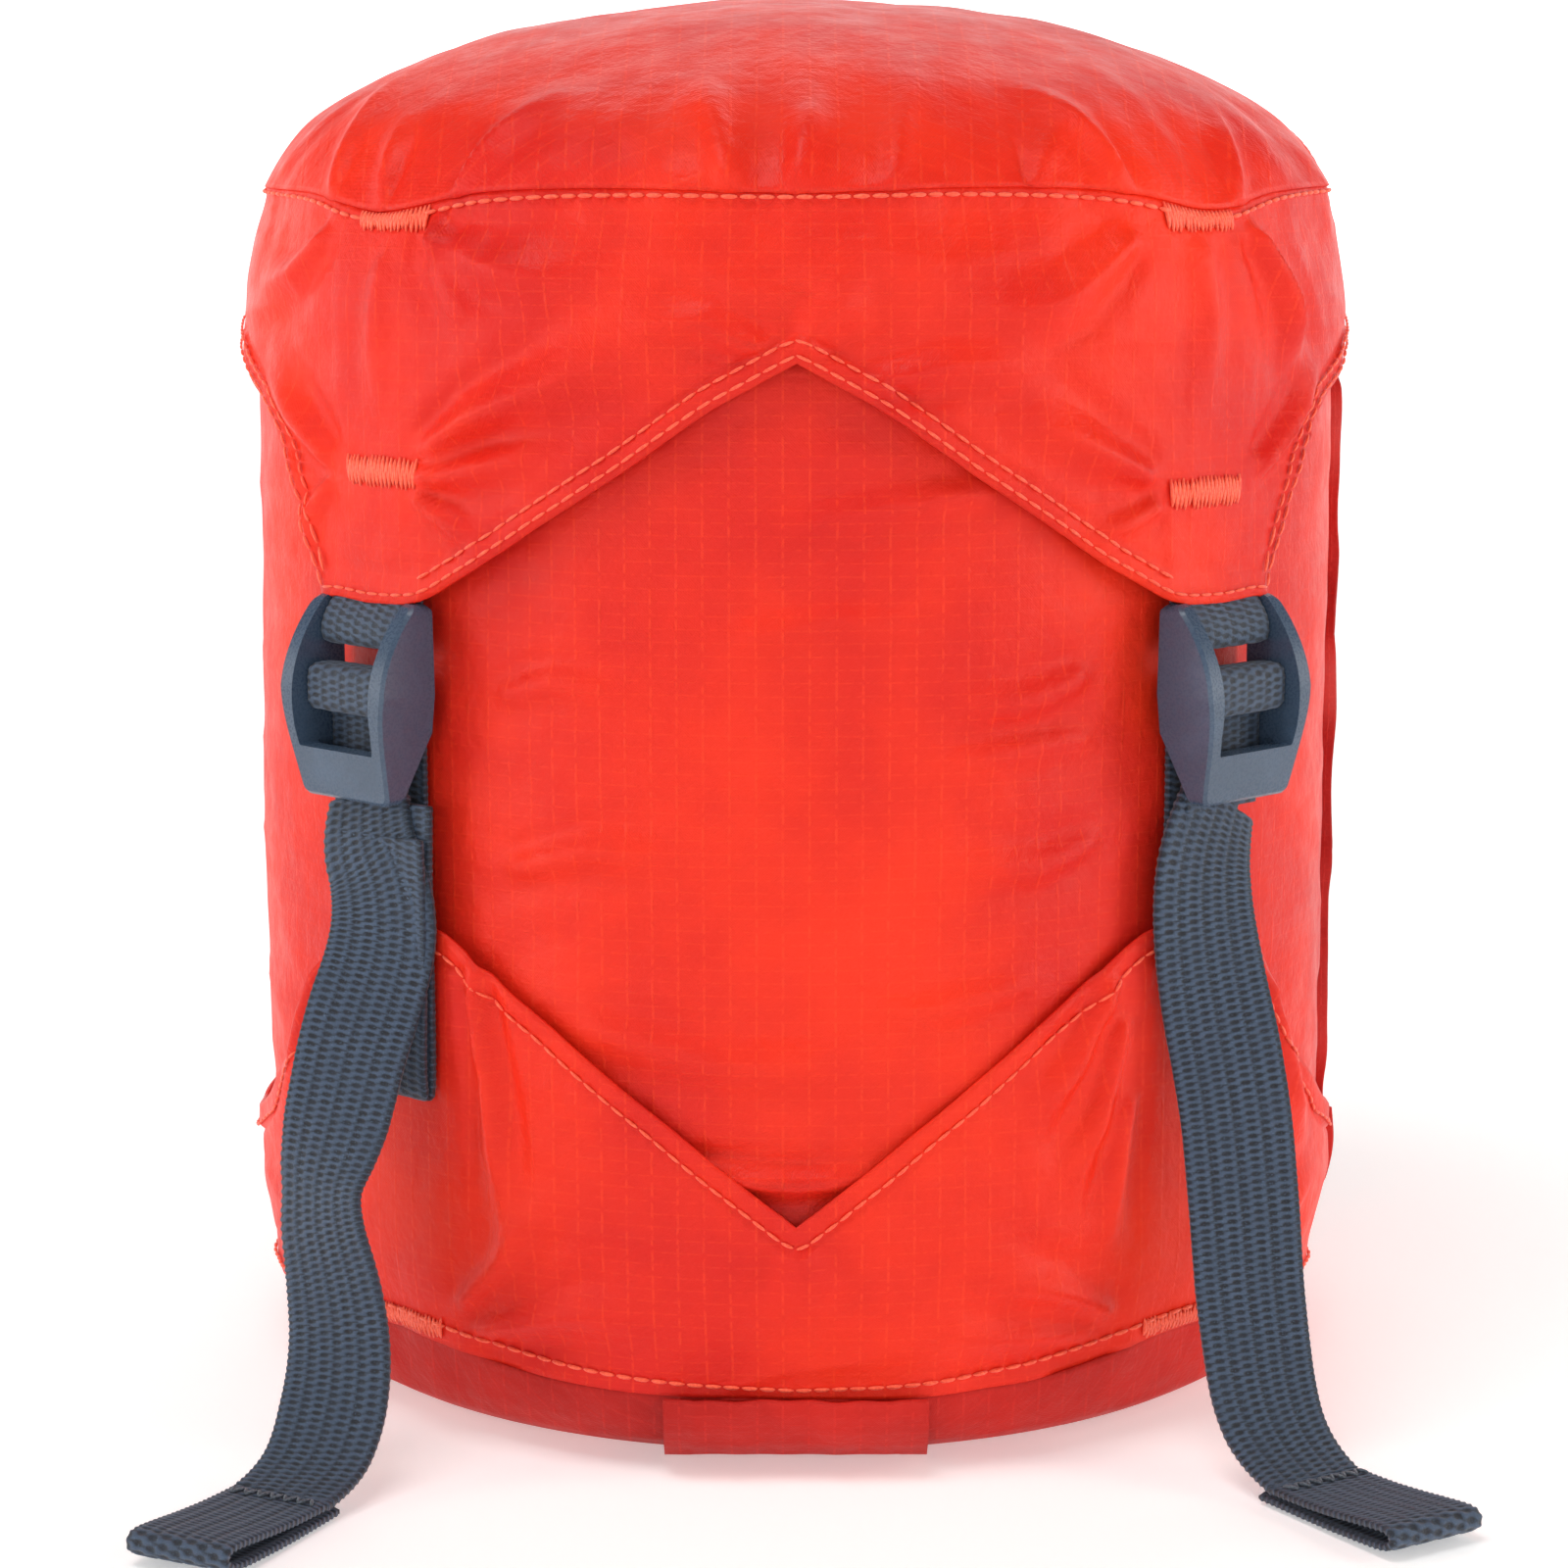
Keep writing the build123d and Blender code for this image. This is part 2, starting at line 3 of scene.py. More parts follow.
import bpy
from functools import lru_cache
from math import cos, pi, radians, sin
import numpy as np
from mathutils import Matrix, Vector


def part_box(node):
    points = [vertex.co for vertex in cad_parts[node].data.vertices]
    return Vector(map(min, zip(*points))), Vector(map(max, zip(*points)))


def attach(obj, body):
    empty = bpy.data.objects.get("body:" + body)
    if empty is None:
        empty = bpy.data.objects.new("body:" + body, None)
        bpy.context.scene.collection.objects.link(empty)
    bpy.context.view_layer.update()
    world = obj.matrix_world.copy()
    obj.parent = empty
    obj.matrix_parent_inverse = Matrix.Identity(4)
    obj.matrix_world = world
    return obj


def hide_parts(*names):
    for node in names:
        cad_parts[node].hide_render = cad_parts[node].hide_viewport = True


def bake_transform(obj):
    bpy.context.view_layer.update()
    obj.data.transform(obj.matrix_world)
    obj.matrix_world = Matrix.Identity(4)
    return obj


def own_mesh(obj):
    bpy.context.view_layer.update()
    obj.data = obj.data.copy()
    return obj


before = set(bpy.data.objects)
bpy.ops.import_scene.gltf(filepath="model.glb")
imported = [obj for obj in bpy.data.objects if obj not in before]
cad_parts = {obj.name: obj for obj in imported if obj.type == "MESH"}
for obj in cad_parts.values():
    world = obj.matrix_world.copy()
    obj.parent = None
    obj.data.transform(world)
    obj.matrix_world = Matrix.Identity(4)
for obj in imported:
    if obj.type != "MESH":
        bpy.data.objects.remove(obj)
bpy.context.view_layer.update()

MM = 0.001
FOLD_DEPTH = 1.55  # how deep the folds stand, against their listed depths
GRID_PITCH = 0.0039  # between two ripstop lines
STITCH_PITCH = 2.7  # mm
PLEATS = 34  # round the gathered mouth
TUBE_R, SKIRT_R, LID_R = 86.55, 89.5, 90.9  # mm, before swells and folds
MOUTH_R, HEM_R, MOUTH_Z = 13.2, 2.85, 207.2  # mm, the rolled hem of the mouth
STRAPS = {"front_left": -45.0, "front_right": 45.0, "rear_left": -135.0, "rear_right": 135.0}


# ---- numbers on a surface
def bspline(t):
    """The four cubic weights round a cell."""
    return ((1 - t) ** 3 / 6, (3 * t**3 - 6 * t * t + 4) / 6,
            (-3 * t**3 + 3 * t * t + 3 * t + 1) / 6, t**3 / 6)


@lru_cache(maxsize=None)
def random_grid(cells_u, cells_v, seed):
    return np.random.default_rng(seed).uniform(-1, 1, (cells_u, cells_v + 4))


def noise(u, v, cells_u, cells_v, seed):
    """Smooth noise, about -1 to 1, over u, which wraps at 1, and v from 0 to 1."""
    grid = random_grid(cells_u, cells_v, seed)
    x, y = (u % 1.0) * cells_u, np.clip(v, 0, 0.9999) * cells_v
    i, j = np.floor(x).astype(int), np.floor(y).astype(int)
    wx, wy = bspline(x - i), bspline(y - j)
    total = np.zeros(np.broadcast(u, v).shape)
    for a in range(4):
        for b in range(4):
            total += wx[a] * wy[b] * grid[(i + a) % cells_u, j + b]
    return total * 1.6


def smooth(x, low, high):
    """0 below low, 1 above high, smooth between."""
    t = np.clip((x - low) / (high - low), 0, 1)
    return t * t * (3 - 2 * t)


def bump(x, middle, width):
    """A soft hill of height 1."""
    return np.exp(-(((x - middle) / width) ** 2))


def turn(angle):
    """An angle in degrees brought to -180 to 180."""
    return (angle + 180) % 360 - 180


def near_strap(angle):
    """How far an angle round the sack is from the nearest strap, in degrees."""
    return np.abs((angle % 90) - 45)


def fold(angle, z, points, depth, width, end_width=None, sharp=1.5, radius=88.0):
    """A fold's height in mm along a line of (degrees, height) points: deepest near its start, then fading."""
    end_width = width if end_width is None else end_width
    middle = points[len(points) // 2][0]
    s = radians(1) * radius * turn(angle - middle)
    line = [(radians(1) * radius * turn(a - middle), b) for a, b in points]
    lengths = [np.hypot(b[0] - a[0], b[1] - a[1]) for a, b in zip(line, line[1:])]
    total, done = sum(lengths), 0.0
    best, along = np.full(np.shape(s), 1e9), np.zeros(np.shape(s))
    for (x0, y0), (x1, y1), length in zip(line, line[1:], lengths):
        t = np.clip(((s - x0) * (x1 - x0) + (z - y0) * (y1 - y0)) / length**2, 0, 1)
        d = np.hypot(s - x0 - t * (x1 - x0), z - y0 - t * (y1 - y0))
        near = d < best
        best, along = np.where(near, d, best), np.where(near, (done + t * length) / total, along)
        done += length
    w = width + (end_width - width) * along
    rise = smooth(along, -0.02, 0.12) * (1 - smooth(along, 0.45, 1.0))
    ridge = np.exp(-np.abs(best / w) ** sharp)
    valleys = np.exp(-(((best - 1.9 * w) / (0.9 * w)) ** 2))
    return FOLD_DEPTH * depth * rise * (ridge - 0.45 * valleys)


def folded(r, angle, z, folds, both=False, radius=88.0):
    """A radius with its folds; both repeats them, a little shallower, on the back."""
    a = turn(angle)
    for points, depth, width, end in folds:
        r = r + fold(a, z, points, depth, width, end, radius=radius)
        if both:
            r = r + fold(turn(a - 180), z, points, depth * 0.9, width, end, radius=radius)
    return r


def polar(angle, r, z):
    """Points in metres from an angle in degrees round from the front, and a radius and height in mm."""
    a = np.radians(angle)
    return np.stack([r * np.sin(a), -r * np.cos(a), z + 0 * r], -1) * MM


def round_angles(cols):
    """Even angles all round, in degrees, as one row."""
    return np.linspace(-180, 180, cols, endpoint=False)[None, :]


def travelled(x, y):
    """How far along a line each of its points is."""
    return np.concatenate([[0], np.cumsum(np.hypot(np.diff(x), np.diff(y)))])


def grid_uv(u, v):
    """A UV map from its two coordinates."""
    return np.stack(np.broadcast_arrays(u, v), -1)


def planar_uv(angle, r):
    """A UV map in metres for cloth that lies flat across the sack."""
    return np.stack([r * np.sin(np.radians(angle)), r * np.cos(np.radians(angle))], -1) * MM


def ring_noise(angle, like, cells, seed):
    """Noise that changes only with the angle round the sack."""
    return noise(angle / 360, like * 0 + 0.5, cells, 1, seed)


def pleats(angle):
    """The even pleats of the gathered mouth, -1 to 1."""
    return np.sin(np.radians(angle) * PLEATS + 2 * noise(angle / 360, 0.5, 12, 1, 33))


# ---- meshes
def mesh_object(name, verts, faces, uv=None, values=None):
    """A smooth mesh object, with a UV map in metres and a value at each point for its material to read."""
    mesh = bpy.data.meshes.new(name)
    mesh.from_pydata(np.asarray(verts, float).tolist(), [], faces)
    mesh.polygons.foreach_set("use_smooth", [True] * len(mesh.polygons))
    if uv is not None:
        layer = mesh.uv_layers.new(name="cloth")
        layer.data.foreach_set("uv", np.asarray(uv, np.float32).ravel())
    if values is not None:
        relief = mesh.attributes.new("relief", "FLOAT", "POINT")
        relief.data.foreach_set("value", np.asarray(values, np.float32).ravel())
    mesh.update()
    obj = bpy.data.objects.new(name, mesh)
    bpy.context.scene.collection.objects.link(obj)
    return obj


def grid_object(name, points, uv, closed=True, values=None, ends=False, middle=None):
    """A mesh over rows x columns of points; closed joins the last column to the first.

    ends closes the first and last rows of a flat strap, whose columns run over its face and back under it.
    middle is a point that closes the first row with a fan.
    """
    rows, cols = points.shape[:2]
    last = cols if closed else cols - 1
    i, j = np.meshgrid(np.arange(rows - 1), np.arange(last), indexing="ij")
    k = (j + 1) % cols
    faces = np.stack([i * cols + j, i * cols + k, (i + 1) * cols + k, (i + 1) * cols + j], -1).reshape(-1, 4)
    wide = uv
    if closed:
        wide = np.concatenate([uv, uv[:, :1] + (uv[:, -1:] - uv[:, :1]) * cols / (cols - 1)], 1)
    corner_uv = np.stack([wide[i, j], wide[i, j + 1], wide[i + 1, j + 1], wide[i + 1, j]], 2).reshape(-1, 2)
    faces, verts = faces.tolist(), points.reshape(-1, 3)
    extra_uv = []
    if ends:
        for row, order in ((0, (3, 2, 1, 0)), (rows - 1, (0, 1, 2, 3))):
            for c in range(cols // 2 - 1):
                quad = [c, c + 1, cols - 2 - c, cols - 1 - c]
                quad = [quad[q] for q in order]
                faces.append([row * cols + q for q in quad])
                extra_uv += [uv[row, q] for q in quad]
    if middle is not None:
        verts = np.concatenate([verts, [middle]])
        for c in range(cols):
            faces.append([len(verts) - 1, (c + 1) % cols, c])
            extra_uv += [uv[0].mean(0), uv[0, (c + 1) % cols], uv[0, c]]
        values = None
    if extra_uv:
        corner_uv = np.concatenate([corner_uv, np.array(extra_uv)])
    return mesh_object(name, verts, faces, corner_uv, None if values is None else values.ravel())


def thicken(obj, mm, offset=-1.0):
    """Gives a cloth surface its thickness."""
    solid = obj.modifiers.new("thickness", "SOLIDIFY")
    solid.thickness, solid.offset = mm * MM, offset
    return obj


def finish_piece(obj, material, body, slot, *nodes):
    """Material, body, material slot (not used) and the CAD nodes a piece stands for."""
    obj.data.materials.append(material)
    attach(obj, body)
    if nodes:
        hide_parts(*nodes)
    return obj


# ---- materials
class Nodes:
    """A small helper that adds and links a material's nodes."""

    def __init__(self, name):
        self.material = bpy.data.materials.new(name)
        self.material.use_nodes = True
        self.tree = self.material.node_tree
        self.tree.nodes.clear()

    def add(self, kind, inputs=None, **settings):
        node = self.tree.nodes.new(kind)
        for key, value in settings.items():
            setattr(node, key, value)
        for key, value in (inputs or {}).items():
            self.put(node, key, value)
        return node

    def put(self, node, key, value):
        socket = node.inputs[key]
        if isinstance(value, bpy.types.NodeSocket):
            self.tree.links.new(value, socket)
        else:
            socket.default_value = value

    def math(self, operation, a, b=0.0, c=0.0):
        return self.add("ShaderNodeMath", {0: a, 1: b, 2: c}, operation=operation).outputs[0]

    def place(self):
        return self.add("ShaderNodeTexCoord").outputs["Object"]

    def mix(self, factor, a, b):
        node = self.add("ShaderNodeMix", data_type="RGBA")
        self.put(node, 0, factor)
        self.put(node, 6, a)
        self.put(node, 7, b)
        return node.outputs[2]

    def ramp(self, value, low, high, to_low=0.0, to_high=1.0):
        return self.add(
            "ShaderNodeMapRange",
            {"Value": value, "From Min": low, "From Max": high, "To Min": to_low, "To Max": to_high},
            interpolation_type="SMOOTHSTEP",
        ).outputs[0]

    def noise(self, vector, scale, detail=3.0, roughness=0.5):
        return self.add(
            "ShaderNodeTexNoise", {"Vector": vector, "Scale": scale, "Detail": detail, "Roughness": roughness}
        ).outputs[0]

    def surface(self, color, roughness, normal=None, **inputs):
        shader = self.add("ShaderNodeBsdfPrincipled", {"Base Color": color, "Roughness": roughness})
        if normal is not None:
            self.put(shader, "Normal", normal)
        for key, value in inputs.items():
            self.put(shader, key.replace("_", " "), value)
        out = self.add("ShaderNodeOutputMaterial")
        self.tree.links.new(shader.outputs[0], out.inputs[0])
        return self.material

    def bump(self, height, distance, strength=1.0, normal=None):
        node = self.add("ShaderNodeBump", {"Height": height, "Distance": distance, "Strength": strength})
        if normal is not None:
            self.put(node, "Normal", normal)
        return node.outputs[0]


def line_mask(n, coordinate, pitch, width):
    """1 on thin lines a pitch apart along a coordinate, 0 between them."""
    part = n.math("FRACT", n.math("DIVIDE", coordinate, pitch))
    off = n.math("ABSOLUTE", n.math("SUBTRACT", part, 0.5))
    return n.ramp(off, width / pitch / 2, 0.2 * width / pitch, 0.0, 1.0)


def cloth_material(name, bright, deep, roughness=0.40, pitch=GRID_PITCH):
    """Ripstop nylon: a fine weave with a grid of thicker threads, uneven colour and a little painted shade in
    the weave's gaps.
    """
    n = Nodes(name)
    uv = n.add("ShaderNodeUVMap", uv_map="cloth").outputs[0]
    split = n.add("ShaderNodeSeparateXYZ", {0: uv})
    u, v = split.outputs[0], split.outputs[1]
    place = n.place()
    across, up = line_mask(n, u, pitch, 0.00055), line_mask(n, v, pitch * 0.5, 0.0004)
    broken = n.ramp(n.noise(uv, 900.0, 1.0), 0.35, 0.6)
    grid = n.math("MULTIPLY", n.math("MAXIMUM", across, n.math("MULTIPLY", up, 0.55)), broken)
    warp = n.math("SINE", n.math("MULTIPLY", u, 2 * pi / 0.00042))
    weft = n.math("SINE", n.math("MULTIPLY", v, 2 * pi / 0.00042))
    weave = n.math("MULTIPLY", warp, weft)
    patch = n.ramp(n.noise(place, 18.0, 4.0, 0.6), 0.3, 0.7)
    color = n.mix(patch, deep, bright)
    line_color = (min(1, bright[0] * 1.25), bright[1] * 2.2, bright[2] * 2.4, 1)
    # Painted shade: the weave's gaps are darkened, up to a tenth of the way to this darker red.
    weave_gap_shade = (deep[0] * 0.7, deep[1] * 0.6, deep[2] * 0.6, 1)
    color = n.mix(n.math("MULTIPLY", grid, 0.28), color, line_color)
    color = n.mix(n.ramp(weave, -1.0, 1.0, 0.0, 0.10), color, weave_gap_shade)
    crinkle = n.noise(place, 150.0, 6.0, 0.62)
    height = n.math("ADD", n.math("MULTIPLY", grid, 0.5), n.math("MULTIPLY", weave, 0.16))
    normal = n.bump(crinkle, 0.0010, 0.7)
    normal = n.bump(height, 0.00012, 0.6, normal)
    rough = n.ramp(crinkle, 0.3, 0.7, roughness - 0.06, roughness + 0.10)
    return n.surface(color, rough, normal, Specular_IOR_Level=0.2)


def thread_material(name, color, dark):
    """Twisted sewing thread."""
    n = Nodes(name)
    place = n.place()
    speck = n.noise(place, 2600.0, 2.0)
    tone = n.mix(n.ramp(speck, 0.3, 0.7), dark, color)
    return n.surface(tone, 0.5, n.bump(speck, 0.0001, 0.5), Sheen_Weight=0.2)


def webbing_material():
    """Slate-blue webbing with mixed fibres: painted highlight on the crowns of its ribs and painted shade in
    the gaps between them, both read from the relief height.
    """
    n = Nodes("webbing")
    relief = n.add("ShaderNodeAttribute", attribute_name="relief").outputs["Fac"]
    place = n.place()
    fibre = n.noise(place, 3800.0, 3.0, 0.65)
    shade = n.noise(place, 260.0, 2.0)
    # Painted shade and highlight: the colour runs from near black in the low gaps to lighter slate on the
    # raised crowns.
    color = n.mix(n.ramp(relief, 0.30, 0.95), (0.003, 0.006, 0.013, 1), (0.046, 0.078, 0.135, 1))
    color = n.mix(n.ramp(fibre, 0.52, 0.78, 0.0, 0.55), color, (0.14, 0.21, 0.32, 1))
    color = n.mix(n.ramp(shade, 0.35, 0.65, 0.0, 0.25), color, (0.024, 0.042, 0.075, 1))
    normal = n.bump(fibre, 0.00018, 0.7)
    return n.surface(color, n.ramp(fibre, 0.3, 0.7, 0.55, 0.8), normal, Sheen_Weight=0.15)


def plastic_material(name, color, roughness):
    """Moulded plastic with a fine spark-eroded grain, a little rubbed."""
    n = Nodes(name)
    place = n.place()
    grain = n.noise(place, 2400.0, 3.0, 0.6)
    wear = n.ramp(n.noise(place, 120.0, 4.0, 0.6), 0.45, 0.75)
    tone = n.mix(n.math("MULTIPLY", wear, 0.35), color, (color[0] * 1.6, color[1] * 1.6, color[2] * 1.6, 1))
    rough = n.ramp(grain, 0.3, 0.7, roughness - 0.05, roughness + 0.08)
    return n.surface(tone, rough, n.bump(grain, 0.00003, 0.35))


def wire_material():
    """Bright drawn spring wire."""
    n = Nodes("spring_wire")
    place = n.place()
    drawn = n.noise(place, 1500.0, 2.0)
    return n.surface(
        n.mix(n.ramp(drawn, 0.3, 0.7), (0.42, 0.42, 0.44, 1), (0.62, 0.62, 0.64, 1)),
        n.ramp(drawn, 0.3, 0.7, 0.22, 0.38), n.bump(drawn, 0.00003, 0.4), Metallic=1.0,
    )


CLOTH = cloth_material("ripstop", (0.90, 0.034, 0.009, 1), (0.66, 0.014, 0.010, 1))
# A darker copy of the ripstop: the lining cloth of the base and its grip, and painted shade where the side
# seam's fin uses it.
LINING_AND_SHADE_CLOTH = cloth_material("ripstop_base_and_shade", (0.60, 0.016, 0.009, 1), (0.40, 0.009, 0.006, 1), 0.5)
THREAD = thread_material("thread", (1.0, 0.13, 0.05, 1), (0.85, 0.06, 0.02, 1))
WEB = webbing_material()
WEB_THREAD = thread_material("web_thread", (0.10, 0.13, 0.17, 1), (0.03, 0.04, 0.055, 1))
BUCKLE = plastic_material("buckle_plastic", (0.050, 0.080, 0.128, 1), 0.27)
LOCK = plastic_material("lock_plastic", (0.02, 0.022, 0.026, 1), 0.38)
CORD = thread_material("cord", (0.05, 0.055, 0.065, 1), (0.012, 0.013, 0.016, 1))
WIRE = wire_material()


# ---- lines of the cut cloth, in degrees round and mm up
LID_EDGE = [(0, 168.5), (8, 161.5), (17, 151.5), (30, 138.5), (37.5, 132.2), (40, 131.5), (45, 131.2),
            (50, 131.7), (52.6, 131), (58, 146), (64.5, 158.5), (75, 166), (90, 169.5)]
SKIRT_EDGE = [(0, 40.5), (8, 50), (14, 57.5), (25, 70.5), (35, 80.5), (37, 81.8), (45, 82.2), (51, 81.5),
              (53, 79), (60, 62), (72, 46), (80, 40.5), (90, 38.5)]


def cut_line(table, angle):
    """Height of a cut edge, the same on both sides of the sack, and at its back as at its front."""
    a = np.abs(turn(angle))
    a = np.where(a > 90, 180 - a, a)
    xs, ys = zip(*table)
    fine = np.linspace(0, 90, 361)
    base = np.interp(fine, xs, ys)
    kernel = np.ones(9) / 9
    soft = np.convolve(np.pad(base, 4, mode="reflect", reflect_type="odd"), kernel, "valid")
    return np.interp(a, fine, soft)


def lid_seam_z(angle):
    """The lid's seam, drawn down at each strap."""
    return 193.2 - 3.2 * bump(near_strap(angle), 0, 9) + 0.8 * noise(angle / 360, 0.5, 30, 1, 11)


def base_seam_z(angle):
    """The base seam, drawn up a little at each strap."""
    return 13.0 + 3.4 * bump(near_strap(angle), 0, 14) + 0.5 * noise(angle / 360, 0.5, 26, 1, 12)


TUBE_LOW, TUBE_HIGH = 14.0, 165.0


def wrinkles(angle, z, seed, fine=0.25, broad=0.8):
    """Uneven cloth over a soft filling: broad swells, slack across the sack and small crinkles."""
    u, v = angle / 360, z / 230
    w = broad * noise(u, v, 14, 6, seed)
    w += 0.55 * noise(u + 0.03 * noise(u, v, 9, 9, seed + 5), v, 16, 26, seed + 1)
    w += fine * noise(u, v + 0.012 * noise(u, v, 20, 12, seed + 6), 70, 60, seed + 2)
    ridge = 1 - np.abs(noise(u, v, 26, 44, seed + 3))
    return w + 0.35 * fine / 0.25 * np.clip(ridge, 0, 1) ** 4


# Folds: points as (degrees, height), depth, width and end width, in mm.
TUBE_FOLDS = (
    ([(20, 150), (8, 147), (-6, 143)], 0.8, 1.6, 2.6),
    ([(-6, 128), (4, 131), (16, 129)], 0.6, 1.8, 2.4),
    ([(30, 122), (22, 118), (12, 119)], 1.0, 1.6, 3.0),
    ([(31, 112), (22, 111), (10, 108)], 0.7, 1.4, 2.6),
    ([(32, 97), (24, 93), (12, 95)], 0.9, 1.5, 3.0),
    ([(-30, 92), (-20, 96), (-8, 95)], 0.9, 1.5, 2.8),
    ([(-31, 118), (-24, 121), (-14, 119)], 0.8, 1.4, 2.4),
    ([(-22, 70), (-6, 64), (12, 66)], 0.8, 2.2, 3.2),
    ([(24, 76), (12, 72), (0, 76)], 0.7, 1.6, 2.6),
    ([(-12, 48), (0, 46.5), (12, 48)], 1.5, 1.6, 1.6),
)


def tube_radius(angle, z):
    """The sack's body: pressed in along each strap, swelling between them, drawn in at its seams."""
    strap = near_strap(angle)
    inset = 3.2 * smooth(30 - z, 0, 18) ** 1.5
    swell = 1.9 * smooth(strap, 7, 26) * smooth(z, 10, 60) * (1 - smooth(z, 150, 190) * 0.6)
    r = TUBE_R - inset + swell + smooth(strap, 6.5, 12) * (0.62 * wrinkles(angle, z, 20, 0.26, 0.8) + 0.1)
    r = folded(r, angle, z, TUBE_FOLDS)
    return r


# The tube's shoulder turns in over a quarter circle, then runs flat to the gathered neck, in mm.
SHOULDER_R, FLAT_R, NECK_R, FLAT_Z = 35.6, 50.8, 18.2, 200.6


def sack_body():
    """The tube, over its shoulder and on into the gathers of the drawn-in mouth."""
    cols = 560
    angle = round_angles(cols)
    side_z = np.linspace(TUBE_LOW, TUBE_HIGH, 112)[:, None]
    side = polar(angle, tube_radius(angle, side_z + 0 * angle), side_z + 0 * angle)
    tops, travel = [], [0.0]
    for t in np.linspace(0.04, 1, 26):
        a = t * pi / 2
        swell = tube_radius(angle, TUBE_HIGH + 0 * angle) - 86.4
        r = FLAT_R + SHOULDER_R * cos(a) + swell * (1 - t)
        z = TUBE_HIGH + SHOULDER_R * sin(a) + 0 * angle
        pleat = 0.5 * t * pleats(angle)
        tops.append(polar(angle, r, z + pleat))
        travel.append(SHOULDER_R * pi / 2 * t)
    for t in np.linspace(0.04, 1, 34):
        r = FLAT_R + (NECK_R - FLAT_R) * t + 0 * angle
        pleat = (0.5 + 1.1 * t) * (1 - smooth(t, 0.9, 1.0)) * pleats(angle)
        lift = np.clip(pleat, -0.2, 2)
        tops.append(polar(angle, r, FLAT_Z + lift + 1.6 * smooth(t, 0.85, 1.0)))
        travel.append(56 + 32.6 * t)
    points = np.concatenate([side, np.stack([p[0] for p in tops])], 0)
    v = np.concatenate([side_z[:, 0], TUBE_HIGH + np.array(travel[1:])])
    uv = grid_uv(angle / 360 * 2 * pi * 88 * MM, v[:, None] * MM)
    obj = thicken(grid_object("sack_cloth", points, uv), 0.5)
    return finish_piece(obj, CLOTH, "sack", "shell_cloth", "sack_tube", "sack_shoulder")


# Each lid point lies over its webbing loop, which bulges as it rounds the buckle's bar: heights, then radii.
OVER_LOOP = ((131.2, 133.0, 135.0, 152.0), (92.1, 91.0, 90.5, 90.4))


# Folds: points as (degrees, height), depth, width and end width, in mm.
LID_FOLDS = (
    ([(-38.5, 153), (-31, 160), (-20, 167), (-8, 172)], 1.7, 1.5, 5.0),
    ([(-39, 150), (-30, 153), (-21, 157)], 1.4, 1.3, 3.0),
    ([(-39, 148), (-33, 143), (-29, 140)], 1.0, 1.2, 2.0),
    ([(-50, 151), (-57, 158), (-66, 168)], 1.5, 1.6, 4.0),
    ([(-51, 149), (-55, 143), (-54, 136)], 1.0, 1.4, 2.0),
    ([(-38, 187), (-30, 182), (-18, 180)], 1.5, 1.6, 4.5),
    ([(-37, 190), (-36, 182), (-30, 172)], 1.3, 1.5, 3.2),
    ([(-52, 187), (-58, 180), (-70, 176)], 1.3, 1.6, 4.0),
    ([(0, 170), (4, 177), (3, 186)], 1.0, 1.6, 4.0),
    ([(-2, 170), (-9, 174), (-18, 175)], 0.9, 1.4, 3.4),
    ([(5, 165), (14, 168), (26, 168)], 1.0, 1.5, 3.4),
    ([(34, 187), (26, 178), (16, 172)], 1.5, 1.6, 4.5),
    ([(36, 150), (28, 156), (18, 163)], 1.5, 1.5, 4.0),
    ([(37, 147), (31, 143), (28, 141)], 1.0, 1.2, 2.2),
    ([(50, 188), (56, 176), (60, 160)], 1.9, 1.6, 4.0),
    ([(50, 150), (58, 158), (66, 170)], 1.4, 1.5, 3.4),
    ([(42, 186), (43, 172), (42, 156)], 0.7, 2.0, 2.6),
    ([(-43, 184), (-44, 170), (-43, 156)], 0.6, 2.0, 2.6),
)


def lid_radius(angle, v, z, height):
    """The lid's side, from its cut edge (v 0) to its seam (v 1)."""
    strap = near_strap(angle)
    down = (1 - v) * height  # mm below the seam
    up = height * v  # mm above the cut edge
    slim = smooth(strap, 22, 44) * np.abs(np.sin(np.radians(angle))) ** 6
    r = LID_R + 0.5 * smooth(strap, 8, 26) - 1.7 * slim
    r = r - 3.6 * smooth(z, 172, 194) ** 1.6
    hem = smooth(4.2 - up, 0, 0.8)
    r = r + 0.25 * hem - 0.35 * bump(up, 4.5, 0.7)
    loose = smooth(strap, 4, 16)
    r = r + 0.85 * wrinkles(angle, z, 40, 0.32, 0.85) * (0.35 + 0.65 * loose) * (1 - 0.6 * slim)
    pucker = ring_noise(angle, v, 78, 45) + 0.6 * ring_noise(angle, v, 150, 46)
    r = r + (0.9 * smooth(-down, -20, 0) + 0.45 * hem * (1 - 0.6 * slim)) * pucker
    web = (1 - smooth(strap, 4.4, 5.6)) * smooth(z, 134, 140) * (1 - smooth(z, 184, 190))
    r = r + 0.25 * web
    r = folded(r, angle, z, LID_FOLDS, both=True)
    r = np.maximum(r, 90.15 - 1.5 * slim - 3.3 * smooth(z, 172, 194) ** 1.6)
    over_web = np.interp(z, *OVER_LOOP) / np.cos(np.radians(np.minimum(strap, 9)))
    point = (1 - smooth(strap, 6.0, 8.2)) * (1 - smooth(z, 140, 150))
    return r + point * np.maximum(over_web - r, 0)


def lid_surface(angle, v):
    low, high = cut_line(LID_EDGE, angle), lid_seam_z(angle)
    z = low + (high - low) * v
    return polar(angle, lid_radius(angle, v, z, high - low), z)


def lid_side():
    cols = 720
    angle = round_angles(cols)
    v = (np.linspace(0, 1, 64) ** 0.9)[:, None]
    points = lid_surface(angle, v)
    uv = grid_uv(angle / 360 * 2 * pi * 91 * MM, points[..., 2])
    obj = thicken(grid_object("lid_side", points, uv), 0.7)
    return finish_piece(obj, CLOTH, "lid", "shell_cloth", "lid_band")


